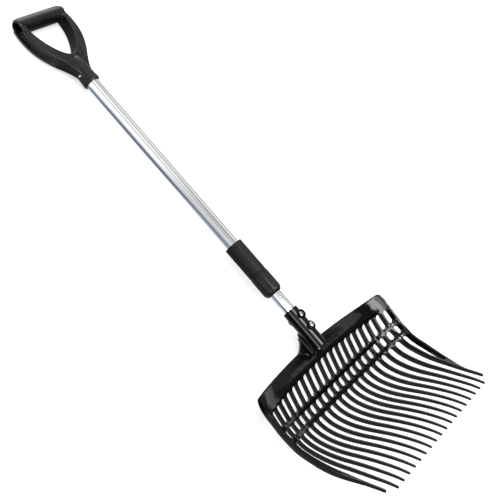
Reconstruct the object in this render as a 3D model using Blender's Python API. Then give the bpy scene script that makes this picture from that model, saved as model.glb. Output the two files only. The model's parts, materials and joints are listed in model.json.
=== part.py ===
"""D-handle ensilage fork with a wide plastic basket head and a telescopic aluminium shaft.

The shaft runs along +Y towards the tine tips. All sizes are in metres.
The fork lies on the floor on the low curve of its head and on its grip.
"""
import math

import bmesh
import bpy
from mathutils import Matrix

# Shared clearance between pieces that touch
GAP = 0.0003

# Tubes
INNER_TUBE_R = 0.0112
TUBE_WALL = 0.0010
OUTER_TUBE_R = INNER_TUBE_R + GAP + TUBE_WALL
SHAFT_SEGMENTS = 32

# Places along the shaft, measured from the top of the middle slots
GRIP_BAR_Y = -0.7965
GRIP_LIP_Y = -0.642
OUTER_TUBE_TOP_Y = -0.694
OUTER_TUBE_END_Y = -0.206
SLEEVE_TOP_Y = -0.253
SLEEVE_SEAM_Y = -0.1855
NUT_END_Y = -0.139
SOCKET_END_Y = -0.100
SOCKET_FRONT_Y = -0.0175
INNER_TUBE_TOP_Y = -0.575
INNER_TUBE_END_Y = -0.0245

# Grid of the head
TINE_PITCH = 0.0205
TINE_COUNT = 20
BAR_COUNT = TINE_COUNT + 2
HALF_GRID = (BAR_COUNT - 1) / 2
HALF_SPAN = HALF_GRID * TINE_PITCH
RIB_TOP_W = 0.0038
RIB_FOOT_W = 0.0031
TIP_TOP_W = 0.0030
TIP_FOOT_W = 0.0024
SLOT_END_L = 0.0052
SLOT_END_POWER = 2.4
SLOT_SEGMENTS = 5
WEB_T = 0.0032
LIP_W = 0.0032

# Slot rows, along the shaft
SLOT_BOW = 0.0149
SLOT1_END_Y = 0.0406
SLOT2_START_Y = 0.0474
SLOT2_END_Y = 0.0648
TINE_START_Y = 0.0724
TINE_TIP_Y = 0.2265
SIDE_TINE_SHORTER = 0.0105
TINE_ROWS = 10

# Rear edge of the head
REAR_Y = -0.0332
REAR_BOW = 0.0160
REAR_Z = -0.0012
REAR_RISE = 0.0325
REAR_POWER = 3.5

# Basket surface: centre line and rise towards both sides, each as y, z and slope
CENTRE_LINE = ((0.0, 0.0032, -0.39), (0.058, -0.0148, -0.07), (0.088, -0.0142, 0.27),
               (0.098, -0.0104, 0.50), (0.150, 0.0349, 1.16), (0.2265, 0.1042, 0.55))
SIDE_RISE = ((0.0, 0.0207, 0.30), (0.095, 0.0405, 0.0), (0.200, 0.0, 0.0), (0.2265, 0.0, 0.0))
SIDE_POWER = 3.6

# Depth of the ribs along the profile normal, as y and depth
RIB_DEPTH = ((-0.034, 0.0062), (0.0, 0.0082), (0.115, 0.0084), (0.160, 0.0066), (0.200, 0.0046), (0.2265, 0.0027))

# Outer side of the side rails, as y and distance in from the last grid line
RAIL_INSET = ((-0.018, 0.00625), (-0.003, 0.00345), (0.029, 0.00325), (0.060, 0.00375), (0.096, 0.00465),
              (0.120, 0.00545), (0.140, 0.00775), (0.160, 0.01175), (0.176, 0.01625), (0.188, 0.01845))

# How far the side rails stand above the basket surface, as y and height
RAIL_RAISE = ((-0.030, 0.0018), (0.0, 0.0034), (0.030, 0.0050), (0.060, 0.0038), (0.100, 0.0029),
              (0.140, 0.0018), (0.186, 0.0))
RAIL_W = 0.0038
RAIL_END_W = 0.0006
RAIL_TAPER_Y = 0.135
RAIL_JOIN_Y = 0.152
RAIL_END_Y = 0.186
CORNER_CUT = 0.0056

# Socket of the head
SHAFT_Z = 0.0166
SOCKET_WALL = 0.0034
SOCKET_BORE_R = INNER_TUBE_R + GAP
SOCKET_R = SOCKET_BORE_R + SOCKET_WALL
SOCKET_LEDGE_X = SOCKET_R * 0.812
SOCKET_LEDGE = 0.0004
BARREL_TOP_STEPS = 12
BARREL_FOOT_STEPS = 22
SADDLE_BASE_Z = -0.0022
SADDLE_START_Y = -0.046
SADDLE_FOOT_X = SOCKET_R + 0.0066
SADDLE_FOOT_Z = -0.0006
FILLET_TOP_X = SOCKET_R - 0.0011
FILLET_TOP_Z = 0.0075
TONGUE_Y = -0.064
TONGUE_HALF_W = 0.0115
TONGUE_FLARE_W = 0.0430
TONGUE_TOP_Z = 0.0030
TONGUE_RAMP = 0.013
BOLT_YS = (-0.082, -0.056)
BOSS_R = 0.0083
BOSS_TOP_Z = SHAFT_Z + SOCKET_R + 0.0041
BOSS_FOOT_Z = -0.0018
BOLT_R = 0.0030
BOLT_HEAD_R = 0.0052
BOLT_HEAD_H = 0.0030
BOLT_RECESS = 0.0012
BOLT_RECESS_R = BOLT_HEAD_R + 0.0008
NUT_ACROSS = 0.0100
NUT_H = 0.0032
NUT_FLOOR_T = 0.0014
NUT_POCKET_TOP_Z = SHAFT_Z - INNER_TUBE_R - GAP - NUT_FLOOR_T

# Clamp
SLEEVE_BORE_R = OUTER_TUBE_R + GAP
STUB_WALL = 0.0020
STUB_R = SLEEVE_BORE_R + STUB_WALL
STUB_END_Y = -0.1640
STUB_MOUTH_R = INNER_TUBE_R + 0.0006
SLEEVE_R = STUB_R + 0.0025
NUT_R = SLEEVE_R + 0.0005
NUT_FLUTES = 22
NUT_FLUTE_DEPTH = 0.0007
NUT_MOUTH_R = INNER_TUBE_R + 0.0007
NUT_BORE_R = STUB_R + GAP
COLLET_START_Y = STUB_END_Y + 0.0006
COLLET_END_Y = -0.1480
COLLET_BORE_R = INNER_TUBE_R + GAP
COLLET_WALL = 0.0021
COLLET_R = COLLET_BORE_R + COLLET_WALL
COLLET_TOE_R = COLLET_R - 0.0010
COLLET_TAPER_L = 0.0060
COLLET_SLIT = 0.0022
CONE_GAP = 0.0006

# Guide at the upper end of the inner tube
GUIDE_HEAD_T = 0.0060
GUIDE_STEM_L = 0.0150

# Grip
NECK_BORE_R = OUTER_TUBE_R + GAP
NECK_WALL = 0.0025
NECK_R = NECK_BORE_R + NECK_WALL
NECK_LIP_R = NECK_R + 0.0015
BAR_R = 0.0152
BAR_END_R = 0.0095
BAR_END_RISE = 0.0045
BAR_BORE_R = 0.0068
BAR_SEGMENTS = 24
BAR_BORE_L = 0.042
BAR_BORE_Z = 0.0025
GRIP_HALF_W = 0.0600
LIMB_T = 0.0250
LIMB_EDGE_R = 0.0030
GROOVE_W = 0.0150
GROOVE_DEPTH = 0.0042
GROOVE_OVERSHOOT = 0.010
NECK_START_Y = -0.6850
LIMB_OUTER = ((-0.7965, 0.0585), (-0.776, 0.0612), (-0.750, 0.0592), (-0.728, 0.0520), (-0.708, 0.0402),
              (-0.692, 0.0285), (-0.678, 0.0200), (-0.664, 0.0160))
LIMB_INNER = ((-0.7965, 0.0488), (-0.776, 0.0482), (-0.755, 0.0432), (-0.735, 0.0337), (-0.720, 0.0232),
              (-0.709, 0.0112), (-0.7045, 0.0))
GRIP_SCREW_Y = -0.664
GRIP_SCREW_R = 0.0018
GRIP_SCREW_HEAD_R = 0.0031
GRIP_SCREW_HEAD_H = 0.0016
GRIP_SCREW_SEAT_R = GRIP_SCREW_HEAD_R + 0.0005
GRIP_SCREW_SINK = 0.0008


for old in list(bpy.data.objects):
    bpy.data.objects.remove(old, do_unlink=True)

scene = bpy.context.scene


def make_material(name, colour, roughness, metallic):
    material = bpy.data.materials.new(name)
    material.use_nodes = True
    shader = material.node_tree.nodes["Principled BSDF"]
    shader.inputs["Base Color"].default_value = (*colour, 1.0)
    shader.inputs["Roughness"].default_value = roughness
    shader.inputs["Metallic"].default_value = metallic
    material.diffuse_color = (*colour, 1.0)
    return material


HEAD_PLASTIC = make_material("black_gloss_plastic", (0.012, 0.012, 0.013), 0.30, 0.0)
GRIP_PLASTIC = make_material("black_textured_plastic", (0.030, 0.030, 0.032), 0.55, 0.0)
SLEEVE_PLASTIC = make_material("black_matte_plastic", (0.022, 0.022, 0.023), 0.60, 0.0)
NUT_PLASTIC = make_material("black_ribbed_plastic", (0.020, 0.020, 0.021), 0.48, 0.0)
NYLON = make_material("natural_nylon", (0.62, 0.60, 0.54), 0.45, 0.0)
ALUMINIUM = make_material("bright_aluminium", (0.80, 0.80, 0.80), 0.22, 1.0)
ZINC = make_material("zinc_plated_steel", (0.66, 0.67, 0.69), 0.28, 1.0)


def make_empty(name, parent, location=(0.0, 0.0, 0.0), rotation=(0.0, 0.0, 0.0)):
    empty = bpy.data.objects.new(name, None)
    empty.empty_display_size = 0.03
    empty.location = location
    empty.rotation_euler = rotation
    empty.parent = parent
    scene.collection.objects.link(empty)
    return empty


def make_object(name, bm, material, parent, location=(0.0, 0.0, 0.0), rotation=(0.0, 0.0, 0.0)):
    bmesh.ops.recalc_face_normals(bm, faces=bm.faces)
    mesh = bpy.data.meshes.new(name)
    bm.to_mesh(mesh)
    bm.free()
    if material is not None:
        mesh.materials.append(material)
    obj = bpy.data.objects.new(name, mesh)
    obj.location = location
    obj.rotation_euler = rotation
    obj.parent = parent
    scene.collection.objects.link(obj)
    return obj


def make_cutter(name, bm, parent, location=(0.0, 0.0, 0.0), rotation=(0.0, 0.0, 0.0)):
    cutter = make_object(name, bm, None, parent, location, rotation)
    cutter.hide_render = True
    cutter.display_type = "WIRE"
    return cutter


def add_boolean(obj, operation, tool):
    step = obj.modifiers.new(operation.lower() + "_" + tool.name, "BOOLEAN")
    step.operation = operation
    step.solver = "EXACT"
    step.object = tool
    return step


def shade_round(obj, angle=32.0):
    obj.data.shade_smooth()
    obj.data.set_sharp_from_angle(angle=math.radians(angle))


def finish_shape(obj, angle=32.0):
    """Keeps the built shape as the mesh, removes the tools and shades it."""
    bpy.context.view_layer.update()
    tools = [step.object for step in obj.modifiers if step.type == "BOOLEAN"]
    graph = bpy.context.evaluated_depsgraph_get()
    built = bpy.data.meshes.new_from_object(obj.evaluated_get(graph))
    obj.modifiers.clear()
    old = obj.data
    obj.data = built
    bpy.data.meshes.remove(old)
    built.name = obj.name
    for tool in tools:
        bpy.data.objects.remove(tool, do_unlink=True)
    bm = bmesh.new()
    bm.from_mesh(built)
    bmesh.ops.remove_doubles(bm, verts=bm.verts, dist=0.00002)
    bmesh.ops.dissolve_degenerate(bm, edges=bm.edges, dist=0.00001)
    bm.to_mesh(built)
    bm.free()
    shade_round(obj, angle)


def revolve(profile, segments=SHAFT_SEGMENTS, radius_at=None):
    """Turns a closed profile of y and radius about the local Y axis."""
    bm = bmesh.new()
    rings = []
    for index in range(segments):
        turn = 2.0 * math.pi * index / segments
        ring = []
        for place, (y, r) in enumerate(profile):
            radius = r if radius_at is None else radius_at(place, r, index)
            ring.append(bm.verts.new((radius * math.sin(turn), y, radius * math.cos(turn))))
        rings.append(ring)
    for index in range(segments):
        here = rings[index]
        there = rings[(index + 1) % segments]
        for place in range(len(profile)):
            after = (place + 1) % len(profile)
            bm.faces.new((here[place], here[after], there[after], there[place]))
    bmesh.ops.recalc_face_normals(bm, faces=bm.faces)
    return bm


def solid_round(stations, segments=SHAFT_SEGMENTS):
    """Lofts a solid of circles along the local Y axis and caps both ends."""
    bm = bmesh.new()
    rings = []
    for y, r in stations:
        ring = []
        for index in range(segments):
            turn = 2.0 * math.pi * index / segments
            ring.append(bm.verts.new((r * math.sin(turn), y, r * math.cos(turn))))
        rings.append(ring)
    for here, there in zip(rings, rings[1:]):
        for index in range(segments):
            after = (index + 1) % segments
            bm.faces.new((here[index], here[after], there[after], there[index]))
    bm.faces.new(rings[0])
    bm.faces.new(list(reversed(rings[-1])))
    bmesh.ops.recalc_face_normals(bm, faces=bm.faces)
    return bm


def loft(sections):
    """Joins closed sections of equal point counts and caps both ends."""
    bm = bmesh.new()
    rings = [[bm.verts.new(point) for point in section] for section in sections]
    count = len(rings[0])
    for here, there in zip(rings, rings[1:]):
        for index in range(count):
            after = (index + 1) % count
            bm.faces.new((here[index], here[after], there[after], there[index]))
    bm.faces.new(rings[0])
    bm.faces.new(list(reversed(rings[-1])))
    bmesh.ops.recalc_face_normals(bm, faces=bm.faces)
    return bm


def hermite(stations, y):
    """Reads a smooth curve given as y, value and slope at each station."""
    if y <= stations[0][0]:
        return stations[0][1] + stations[0][2] * (y - stations[0][0])
    for (y0, v0, m0), (y1, v1, m1) in zip(stations, stations[1:]):
        if y <= y1:
            h = y1 - y0
            t = (y - y0) / h
            return ((2 * t ** 3 - 3 * t ** 2 + 1) * v0 + (t ** 3 - 2 * t ** 2 + t) * h * m0
                    + (3 * t ** 2 - 2 * t ** 3) * v1 + (t ** 3 - t ** 2) * h * m1)
    return stations[-1][1] + stations[-1][2] * (y - stations[-1][0])


def through(points, y):
    """Reads a smooth curve that runs through the given y and value pairs."""
    slopes = []
    for index in range(len(points)):
        before = points[max(index - 1, 0)]
        after = points[min(index + 1, len(points) - 1)]
        slopes.append((after[1] - before[1]) / (after[0] - before[0]))
    stations = tuple((p[0], p[1], m) for p, m in zip(points, slopes))
    return hermite(stations, min(max(y, points[0][0]), points[-1][0]))


# Surface of the basket
def rear_y(x):
    return REAR_Y + REAR_BOW * (x / HALF_SPAN) ** 2


def rear_z(x):
    return REAR_Z + REAR_RISE * abs(x / HALF_SPAN) ** REAR_POWER


def slot_start_y(x):
    return SLOT_BOW * (x / HALF_SPAN) ** 2


def basket_z(x, y):
    return hermite(CENTRE_LINE, y) + hermite(SIDE_RISE, y) * abs(x / HALF_SPAN) ** SIDE_POWER


def top_z(x, y):
    join_y = slot_start_y(x)
    if y >= join_y:
        return basket_z(x, y)
    step = 0.0005
    slope = (basket_z(x, join_y + step) - basket_z(x, join_y)) / step
    start = rear_y(x)
    chord = (basket_z(x, join_y) - rear_z(x)) / (join_y - start)
    return hermite(((start, rear_z(x), chord), (join_y, basket_z(x, join_y), slope)), y)


def below(x, y, depth):
    """Gives the point that lies a depth under the surface, along its normal across the profile."""
    step = 0.001
    slope = (top_z(x, y + step) - top_z(x, y - step)) / (2 * step)
    length = math.hypot(1.0, slope)
    return (x, y + depth * slope / length, top_z(x, y) - depth / length)


def rib_depth(y):
    return through(RIB_DEPTH, y)


# Rows of the grid: four at the rear, four at the slot ends, then the tines
PLATE_ROW = 3
FREE_ROW = 7
LAST_ROW = FREE_ROW + TINE_ROWS
LEVEL_TOP, LEVEL_WEB, LEVEL_FOOT = 0, 1, 2


def slot_row_y(row, x_mid, u):
    """Gives the place of a slot end at a place across the slot, from -1 to 1."""
    bulge = SLOT_END_L * max(0.0, 1.0 - abs(u) ** SLOT_END_POWER) ** (1.0 / SLOT_END_POWER)
    if row == 3:
        return slot_start_y(x_mid) + SLOT_END_L - bulge
    if row == 4:
        return SLOT1_END_Y - SLOT_END_L + bulge
    if row == 5:
        return SLOT2_START_Y + SLOT_END_L - bulge
    if row == 6:
        return SLOT2_END_Y - SLOT_END_L + bulge
    return TINE_START_Y + SLOT_END_L - bulge


def bar_tip_y(bar):
    if bar in (0, 1, TINE_COUNT, TINE_COUNT + 1):
        return TINE_TIP_Y - SIDE_TINE_SHORTER
    return TINE_TIP_Y


def tine_row_y(row, bar):
    start = TINE_START_Y + SLOT_END_L
    return start + (bar_tip_y(bar) - start) * (row - FREE_ROW) / TINE_ROWS


def is_rail(bar):
    return bar in (0, BAR_COUNT - 1)


def rail_width(y):
    if y <= RAIL_TAPER_Y:
        return RAIL_W
    share = min(1.0, (y - RAIL_TAPER_Y) / (RAIL_END_Y - RAIL_TAPER_Y))
    return RAIL_W + (RAIL_END_W - RAIL_W) * share


def bar_sides(bar, row, level, y):
    """Gives both sides of a bar across the head at one row and level."""
    share = 0.0
    if row > FREE_ROW:
        share = (row - FREE_ROW) / TINE_ROWS
    top_w = RIB_TOP_W + (TIP_TOP_W - RIB_TOP_W) * share
    foot_w = RIB_FOOT_W + (TIP_FOOT_W - RIB_FOOT_W) * share
    depth = rib_depth(y)
    fraction = (0.0, min(1.0, WEB_T / depth), 1.0)[level]
    width = top_w + (foot_w - top_w) * fraction
    if row == LAST_ROW:
        width = width * 0.55
    if not is_rail(bar):
        middle = (bar - HALF_GRID) * TINE_PITCH
        return middle - width / 2, middle + width / 2
    outer = HALF_SPAN - through(RAIL_INSET, y)
    inner = outer - rail_width(y)
    if row < 2:
        share = (1.0, 0.35)[row]
        outer -= CORNER_CUT * share
        inner -= CORNER_CUT * share * 0.65
    if bar == 0:
        return -outer, -inner
    return inner, outer


def rail_last_row():
    return max(row for row in range(FREE_ROW, LAST_ROW) if tine_row_y(row, 0) <= RAIL_END_Y)


def rail_join_row():
    return min(row for row in range(FREE_ROW, LAST_ROW) if tine_row_y(row, 0) >= RAIL_JOIN_Y)


def build_grid():
    """Builds ribs, webs, slots, tines and rails as one closed body."""
    lines = []
    for bar in range(BAR_COUNT):
        lines.append(("side", bar, 0))
        lines.append(("side", bar, 1))
        if bar < BAR_COUNT - 1:
            for step in range(1, SLOT_SEGMENTS):
                lines.append(("gap", bar, step))
    bm = bmesh.new()
    made = {}

    def line_place(line, row, level):
        kind, bar, step = lines[line]
        if kind == "side":
            if bar < BAR_COUNT - 1 and step == 1:
                gap_mid = (bar + 0.5 - HALF_GRID) * TINE_PITCH
            elif bar > 0 and step == 0:
                gap_mid = (bar - 0.5 - HALF_GRID) * TINE_PITCH
            else:
                gap_mid = (bar - HALF_GRID) * TINE_PITCH
            y = row_y(row, bar, gap_mid, 1.0)
            x = bar_sides(bar, row, level, y)[step]
            return x, y if row > 2 else row_y_at(row, x)
        left_bar = bar
        gap_mid = (bar + 0.5 - HALF_GRID) * TINE_PITCH
        angle = math.pi * (1.0 - step / SLOT_SEGMENTS)
        u = math.cos(angle)
        y_side = row_y(row, left_bar if left_bar > 0 else 0, gap_mid, 1.0)
        left = bar_sides(bar, row, level, y_side)[1]
        right = bar_sides(bar + 1, row, level, y_side)[0]
        x = (left + right) / 2 + (right - left) / 2 * u
        if row <= 2:
            return x, row_y_at(row, x)
        if row <= FREE_ROW:
            return x, slot_row_y(row, gap_mid, u)
        return x, tine_row_y(row, left_bar)

    def row_y_at(row, x):
        if row == 0:
            return rear_y(x)
        if row == 1:
            return rear_y(x) + LIP_W
        return rear_y(x) + 0.55 * (slot_start_y(x) - rear_y(x))

    def row_y(row, bar, gap_mid, u):
        if row <= 2:
            return row_y_at(row, gap_mid)
        if row <= FREE_ROW:
            return slot_row_y(row, gap_mid, u)
        return tine_row_y(row, bar)

    def raised(line, y):
        """Gives the height added at a rail, fading out across the gap beside it."""
        kind, bar, step = lines[line]
        full = through(RAIL_RAISE, y)
        if kind == "side":
            return full if is_rail(bar) else 0.0
        if bar == 0:
            return full * (1.0 - step / SLOT_SEGMENTS) ** 2
        if bar == BAR_COUNT - 2:
            return full * (step / SLOT_SEGMENTS) ** 2
        return 0.0

    def vertex(line, row, level):
        key = (line, row, level)
        if key not in made:
            x, y = line_place(line, row, level)
            depth = (0.0, WEB_T, rib_depth(y))[level]
            point = below(x, y, min(depth, rib_depth(y)))
            made[key] = bm.verts.new((point[0], point[1], point[2] + raised(line, y)))
        return made[key]

    rail_last = rail_last_row()
    rail_join = rail_join_row()

    def solid(cell, row, layer):
        """Tells whether the space between two lines, two rows and two levels is filled."""
        if cell < 0 or cell >= len(lines) - 1 or row < 0 or row >= LAST_ROW or layer not in (0, 1):
            return False
        kind, bar, step = lines[cell]
        is_bar = kind == "side" and step == 0
        if is_bar:
            return not is_rail(bar) or row < rail_last
        if row in (0, 4, 6):
            return True
        if row in (1, 2):
            return layer == 0
        beside_rail = bar == 0 or bar == BAR_COUNT - 2
        return beside_rail and rail_join <= row < rail_last

    def face(points):
        corners = []
        for point in points:
            if point not in corners:
                corners.append(point)
        if len(corners) > 2:
            bm.faces.new(corners)

    for cell in range(len(lines) - 1):
        for row in range(LAST_ROW):
            for layer in (0, 1):
                if not solid(cell, row, layer):
                    continue
                a, b, c, d = (vertex(cell, row, layer), vertex(cell + 1, row, layer),
                              vertex(cell + 1, row + 1, layer), vertex(cell, row + 1, layer))
                e, f, g, h = (vertex(cell, row, layer + 1), vertex(cell + 1, row, layer + 1),
                              vertex(cell + 1, row + 1, layer + 1), vertex(cell, row + 1, layer + 1))
                if not solid(cell, row, layer - 1):
                    face((a, b, c, d))
                if not solid(cell, row, layer + 1):
                    face((h, g, f, e))
                if not solid(cell - 1, row, layer):
                    face((a, d, h, e))
                if not solid(cell + 1, row, layer):
                    face((b, f, g, c))
                if not solid(cell, row - 1, layer):
                    face((a, e, f, b))
                if not solid(cell, row + 1, layer):
                    face((d, c, g, h))
    # The sides of the free tines and the ends of the slots need no middle line
    web_line = {vertex_ref for (line, row, level), vertex_ref in made.items() if level == LEVEL_WEB}
    middle = {vertex_ref for (line, row, level), vertex_ref in made.items()
              if level == LEVEL_WEB and row > PLATE_ROW and not near_rail(lines[line])}
    along = [edge for edge in bm.edges if set(edge.verts) & middle and set(edge.verts) <= web_line]
    bmesh.ops.dissolve_edges(bm, edges=along, use_verts=True, use_face_split=False)
    bmesh.ops.recalc_face_normals(bm, faces=bm.faces)
    return bm


def near_rail(line):
    return line[1] <= 1 or line[1] >= BAR_COUNT - 2


# Root of the fork; its tilt is set at the end, when the pieces are known
root = make_empty("fork_root", None)
shaft_axis = make_empty("shaft_axis", root, (0.0, 0.0, SHAFT_Z))
handle_slide = make_empty("handle_slide", shaft_axis)


# Head: grid, then the socket on its saddle, bosses and holes
head = make_object("fork_head", build_grid(), HEAD_PLASTIC, root)


def barrel_section(y, shrink):
    """Gives the barrel's outline: a raised shell above and a slightly smaller round below."""
    limit = math.asin(SOCKET_LEDGE_X / SOCKET_R)
    points = []
    for index in range(BARREL_TOP_STEPS + 1):
        angle = -limit + 2 * limit * index / BARREL_TOP_STEPS
        points.append(((SOCKET_R - shrink) * math.sin(angle), y, (SOCKET_R - shrink) * math.cos(angle)))
    sweep = 2 * math.pi - 2 * limit
    for index in range(BARREL_FOOT_STEPS + 1):
        angle = limit + sweep * index / BARREL_FOOT_STEPS
        radius = SOCKET_R - SOCKET_LEDGE - shrink
        points.append((radius * math.sin(angle), y, radius * math.cos(angle)))
    return points


def saddle_section(y):
    """Gives the saddle's outline: hidden in the barrel above, then a fillet down to the plate."""
    right = [(FILLET_TOP_X - 0.0035, SHAFT_Z - 0.001), (FILLET_TOP_X, FILLET_TOP_Z + 0.0030)]
    bend_x = FILLET_TOP_X + 0.0012
    bend_z = SADDLE_FOOT_Z + 0.0022
    for index in range(5):
        t = index / 4
        right.append(((1 - t) ** 2 * FILLET_TOP_X + 2 * t * (1 - t) * bend_x + t * t * SADDLE_FOOT_X,
                      (1 - t) ** 2 * FILLET_TOP_Z + 2 * t * (1 - t) * bend_z + t * t * SADDLE_FOOT_Z))
    right.append((SADDLE_FOOT_X - 0.0006, SADDLE_BASE_Z))
    return [(x, y, z) for x, z in right] + [(-x, y, z) for x, z in reversed(right)]


socket = make_cutter("saddle", loft([saddle_section(SADDLE_START_Y), saddle_section(SOCKET_FRONT_Y + 0.0008)]), root)
barrel = make_cutter("socket_barrel", loft([barrel_section(SOCKET_END_Y, 0.0008),
                                            barrel_section(SOCKET_END_Y + 0.0010, 0.0),
                                            barrel_section(SOCKET_FRONT_Y, 0.0)]), shaft_axis)
add_boolean(socket, "UNION", barrel)


def tongue_half_width(y):
    """Gives the concave flare from the socket out to the plate's rear edge."""
    share = (y - TONGUE_Y) / (REAR_Y + 0.003 - TONGUE_Y)
    share = min(max(share, 0.0), 1.0)
    return TONGUE_HALF_W + (TONGUE_FLARE_W - TONGUE_HALF_W) * (1.0 - math.sqrt(1.0 - share ** 2))


def tongue_section(y):
    w = tongue_half_width(y)
    share = min(max((y - TONGUE_Y) / (REAR_Y - TONGUE_Y), 0.0), 1.0)
    high = TONGUE_TOP_Z + 0.0080 * (1.0 - share) ** 2
    low = SADDLE_BASE_Z + 0.0060 * (1.0 - share)
    return ((-w, y, low), (w, y, low), (w, y, high - 0.0012), (w - 0.0012, y, high),
            (-w + 0.0012, y, high), (-w, y, high - 0.0012))


tongue_rows = [TONGUE_Y + (REAR_Y + 0.003 - TONGUE_Y) * math.sin(math.pi / 2 * i / 8) for i in range(9)]
tongue_end = [(x * 0.97, y + TONGUE_RAMP, SADDLE_BASE_Z + (0.0 if place < 2 else 0.0010))
              for place, (x, y, z) in enumerate(tongue_section(tongue_rows[-1]))]
tongue = make_cutter("tongue", loft([tongue_section(y) for y in tongue_rows] + [tongue_end]), root)
add_boolean(socket, "UNION", tongue)


def upright(stations, segments=24):
    """Lofts a solid of circles along the local Z axis."""
    bm = solid_round(stations, segments)
    bmesh.ops.rotate(bm, verts=bm.verts, matrix=Matrix.Rotation(math.pi / 2, 3, "X"))
    return bm


def together(shapes):
    """Puts one copy of a shape at each bolt into a single mesh."""
    bm = bmesh.new()
    for bolt_y, shape in zip(BOLT_YS, shapes):
        bmesh.ops.translate(shape, verts=shape.verts, vec=(0.0, bolt_y, 0.0))
        part = bpy.data.meshes.new("part")
        shape.to_mesh(part)
        shape.free()
        bm.from_mesh(part)
        bpy.data.meshes.remove(part)
    return bm


def hexagon(across, height, start=0.0):
    """Builds an upright six-sided prism from its across-flats size."""
    corner = across / math.sqrt(3.0)
    flat = [(corner * math.cos(math.pi * i / 3), corner * math.sin(math.pi * i / 3)) for i in range(6)]
    return loft([[(x, y, start) for x, y in flat], [(x, y, start + height) for x, y in flat]])


HEAD_SEAT_Z = BOSS_TOP_Z - BOLT_RECESS
BOSS_STATIONS = ((BOSS_FOOT_Z, BOSS_R - 0.0008), (BOSS_FOOT_Z + 0.0008, BOSS_R),
                 (BOSS_TOP_Z - 0.0008, BOSS_R), (BOSS_TOP_Z, BOSS_R - 0.0008))
HOLE_STATIONS = ((NUT_POCKET_TOP_Z - 0.002, BOLT_R + GAP), (HEAD_SEAT_Z, BOLT_R + GAP),
                 (HEAD_SEAT_Z, BOLT_RECESS_R), (BOSS_TOP_Z + 0.002, BOLT_RECESS_R))
POCKET_START_Z = SADDLE_BASE_Z - 0.006
bosses = make_cutter("bosses", together([upright(BOSS_STATIONS) for _ in BOLT_YS]), root)
add_boolean(socket, "UNION", bosses)
bore = make_cutter("socket_bore", solid_round(((SOCKET_END_Y - 0.005, SOCKET_BORE_R),
                                               (SOCKET_FRONT_Y + 0.004, SOCKET_BORE_R))), shaft_axis)
add_boolean(socket, "DIFFERENCE", bore)
holes = make_cutter("bolt_holes", together([upright(HOLE_STATIONS, 20) for _ in BOLT_YS]), root)
add_boolean(socket, "DIFFERENCE", holes)
pockets = make_cutter("nut_pockets", together([hexagon(NUT_ACROSS + 2 * GAP, NUT_POCKET_TOP_Z - POCKET_START_Z,
                                                       POCKET_START_Z) for _ in BOLT_YS]), root)
add_boolean(socket, "DIFFERENCE", pockets)
finish_shape(socket, 28.0)
add_boolean(head, "UNION", socket)
finish_shape(head, 28.0)


# Inner tube, cross-drilled for the bolts
tube_profile = ((INNER_TUBE_TOP_Y, INNER_TUBE_R - TUBE_WALL), (INNER_TUBE_END_Y, INNER_TUBE_R - TUBE_WALL),
                (INNER_TUBE_END_Y, INNER_TUBE_R), (INNER_TUBE_TOP_Y, INNER_TUBE_R))
inner_tube = make_object("inner_tube", revolve(tube_profile), ALUMINIUM, shaft_axis)
for number, bolt_y in enumerate(BOLT_YS):
    drill = make_cutter("tube_drill_%d" % number, upright(((-0.02, BOLT_R + GAP), (0.02, BOLT_R + GAP)), 20),
                        shaft_axis, (0.0, bolt_y, 0.0))
    add_boolean(inner_tube, "DIFFERENCE", drill)
finish_shape(inner_tube)

# Nylon guide in the inner tube's upper end
stem_r = INNER_TUBE_R - TUBE_WALL - GAP
head_y = INNER_TUBE_TOP_Y - GAP
guide_profile = ((head_y - GUIDE_HEAD_T, stem_r - 0.0030), (head_y - GUIDE_HEAD_T, INNER_TUBE_R - 0.0006),
                 (head_y - GUIDE_HEAD_T + 0.0010, INNER_TUBE_R), (head_y, INNER_TUBE_R), (head_y, stem_r),
                 (head_y + GUIDE_STEM_L, stem_r - 0.0003), (head_y + GUIDE_STEM_L, stem_r - 0.0030))
guide = make_object("inner_guide", revolve(guide_profile, 20), NYLON, shaft_axis)
shade_round(guide)


# Bolts and nuts through the socket
def bolt_shape():
    """Builds a button-head bolt with a hexagon recess, its head's underside at the origin."""
    shank_end = NUT_POCKET_TOP_Z - NUT_H - HEAD_SEAT_Z - GAP
    stations = ((shank_end, BOLT_R - 0.0005), (shank_end + 0.0006, BOLT_R), (GAP, BOLT_R),
                (GAP, BOLT_HEAD_R), (GAP + 0.0008, BOLT_HEAD_R), (GAP + 0.0021, BOLT_HEAD_R * 0.80),
                (GAP + BOLT_HEAD_H, BOLT_HEAD_R * 0.42))
    return upright(stations, 16)


for number, bolt_y in enumerate(BOLT_YS):
    label = ("rear", "front")[number]
    bolt = make_object("bolt_" + label, bolt_shape(), ZINC, root, (0.0, bolt_y, HEAD_SEAT_Z))
    key = make_cutter("key_" + label, hexagon(0.0032, 0.0030), root,
                      (0.0, bolt_y, HEAD_SEAT_Z + GAP + BOLT_HEAD_H - 0.0018))
    add_boolean(bolt, "DIFFERENCE", key)
    finish_shape(bolt)
    nut = make_object("nut_" + label, hexagon(NUT_ACROSS, NUT_H), ZINC, root,
                      (0.0, bolt_y, NUT_POCKET_TOP_Z - NUT_H - GAP))
    thread = make_cutter("thread_" + label, upright(((-0.002, BOLT_R + GAP), (NUT_H + 0.002, BOLT_R + GAP)), 20),
                         root, (0.0, bolt_y, NUT_POCKET_TOP_Z - NUT_H - GAP))
    add_boolean(nut, "DIFFERENCE", thread)
    finish_shape(nut)


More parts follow.
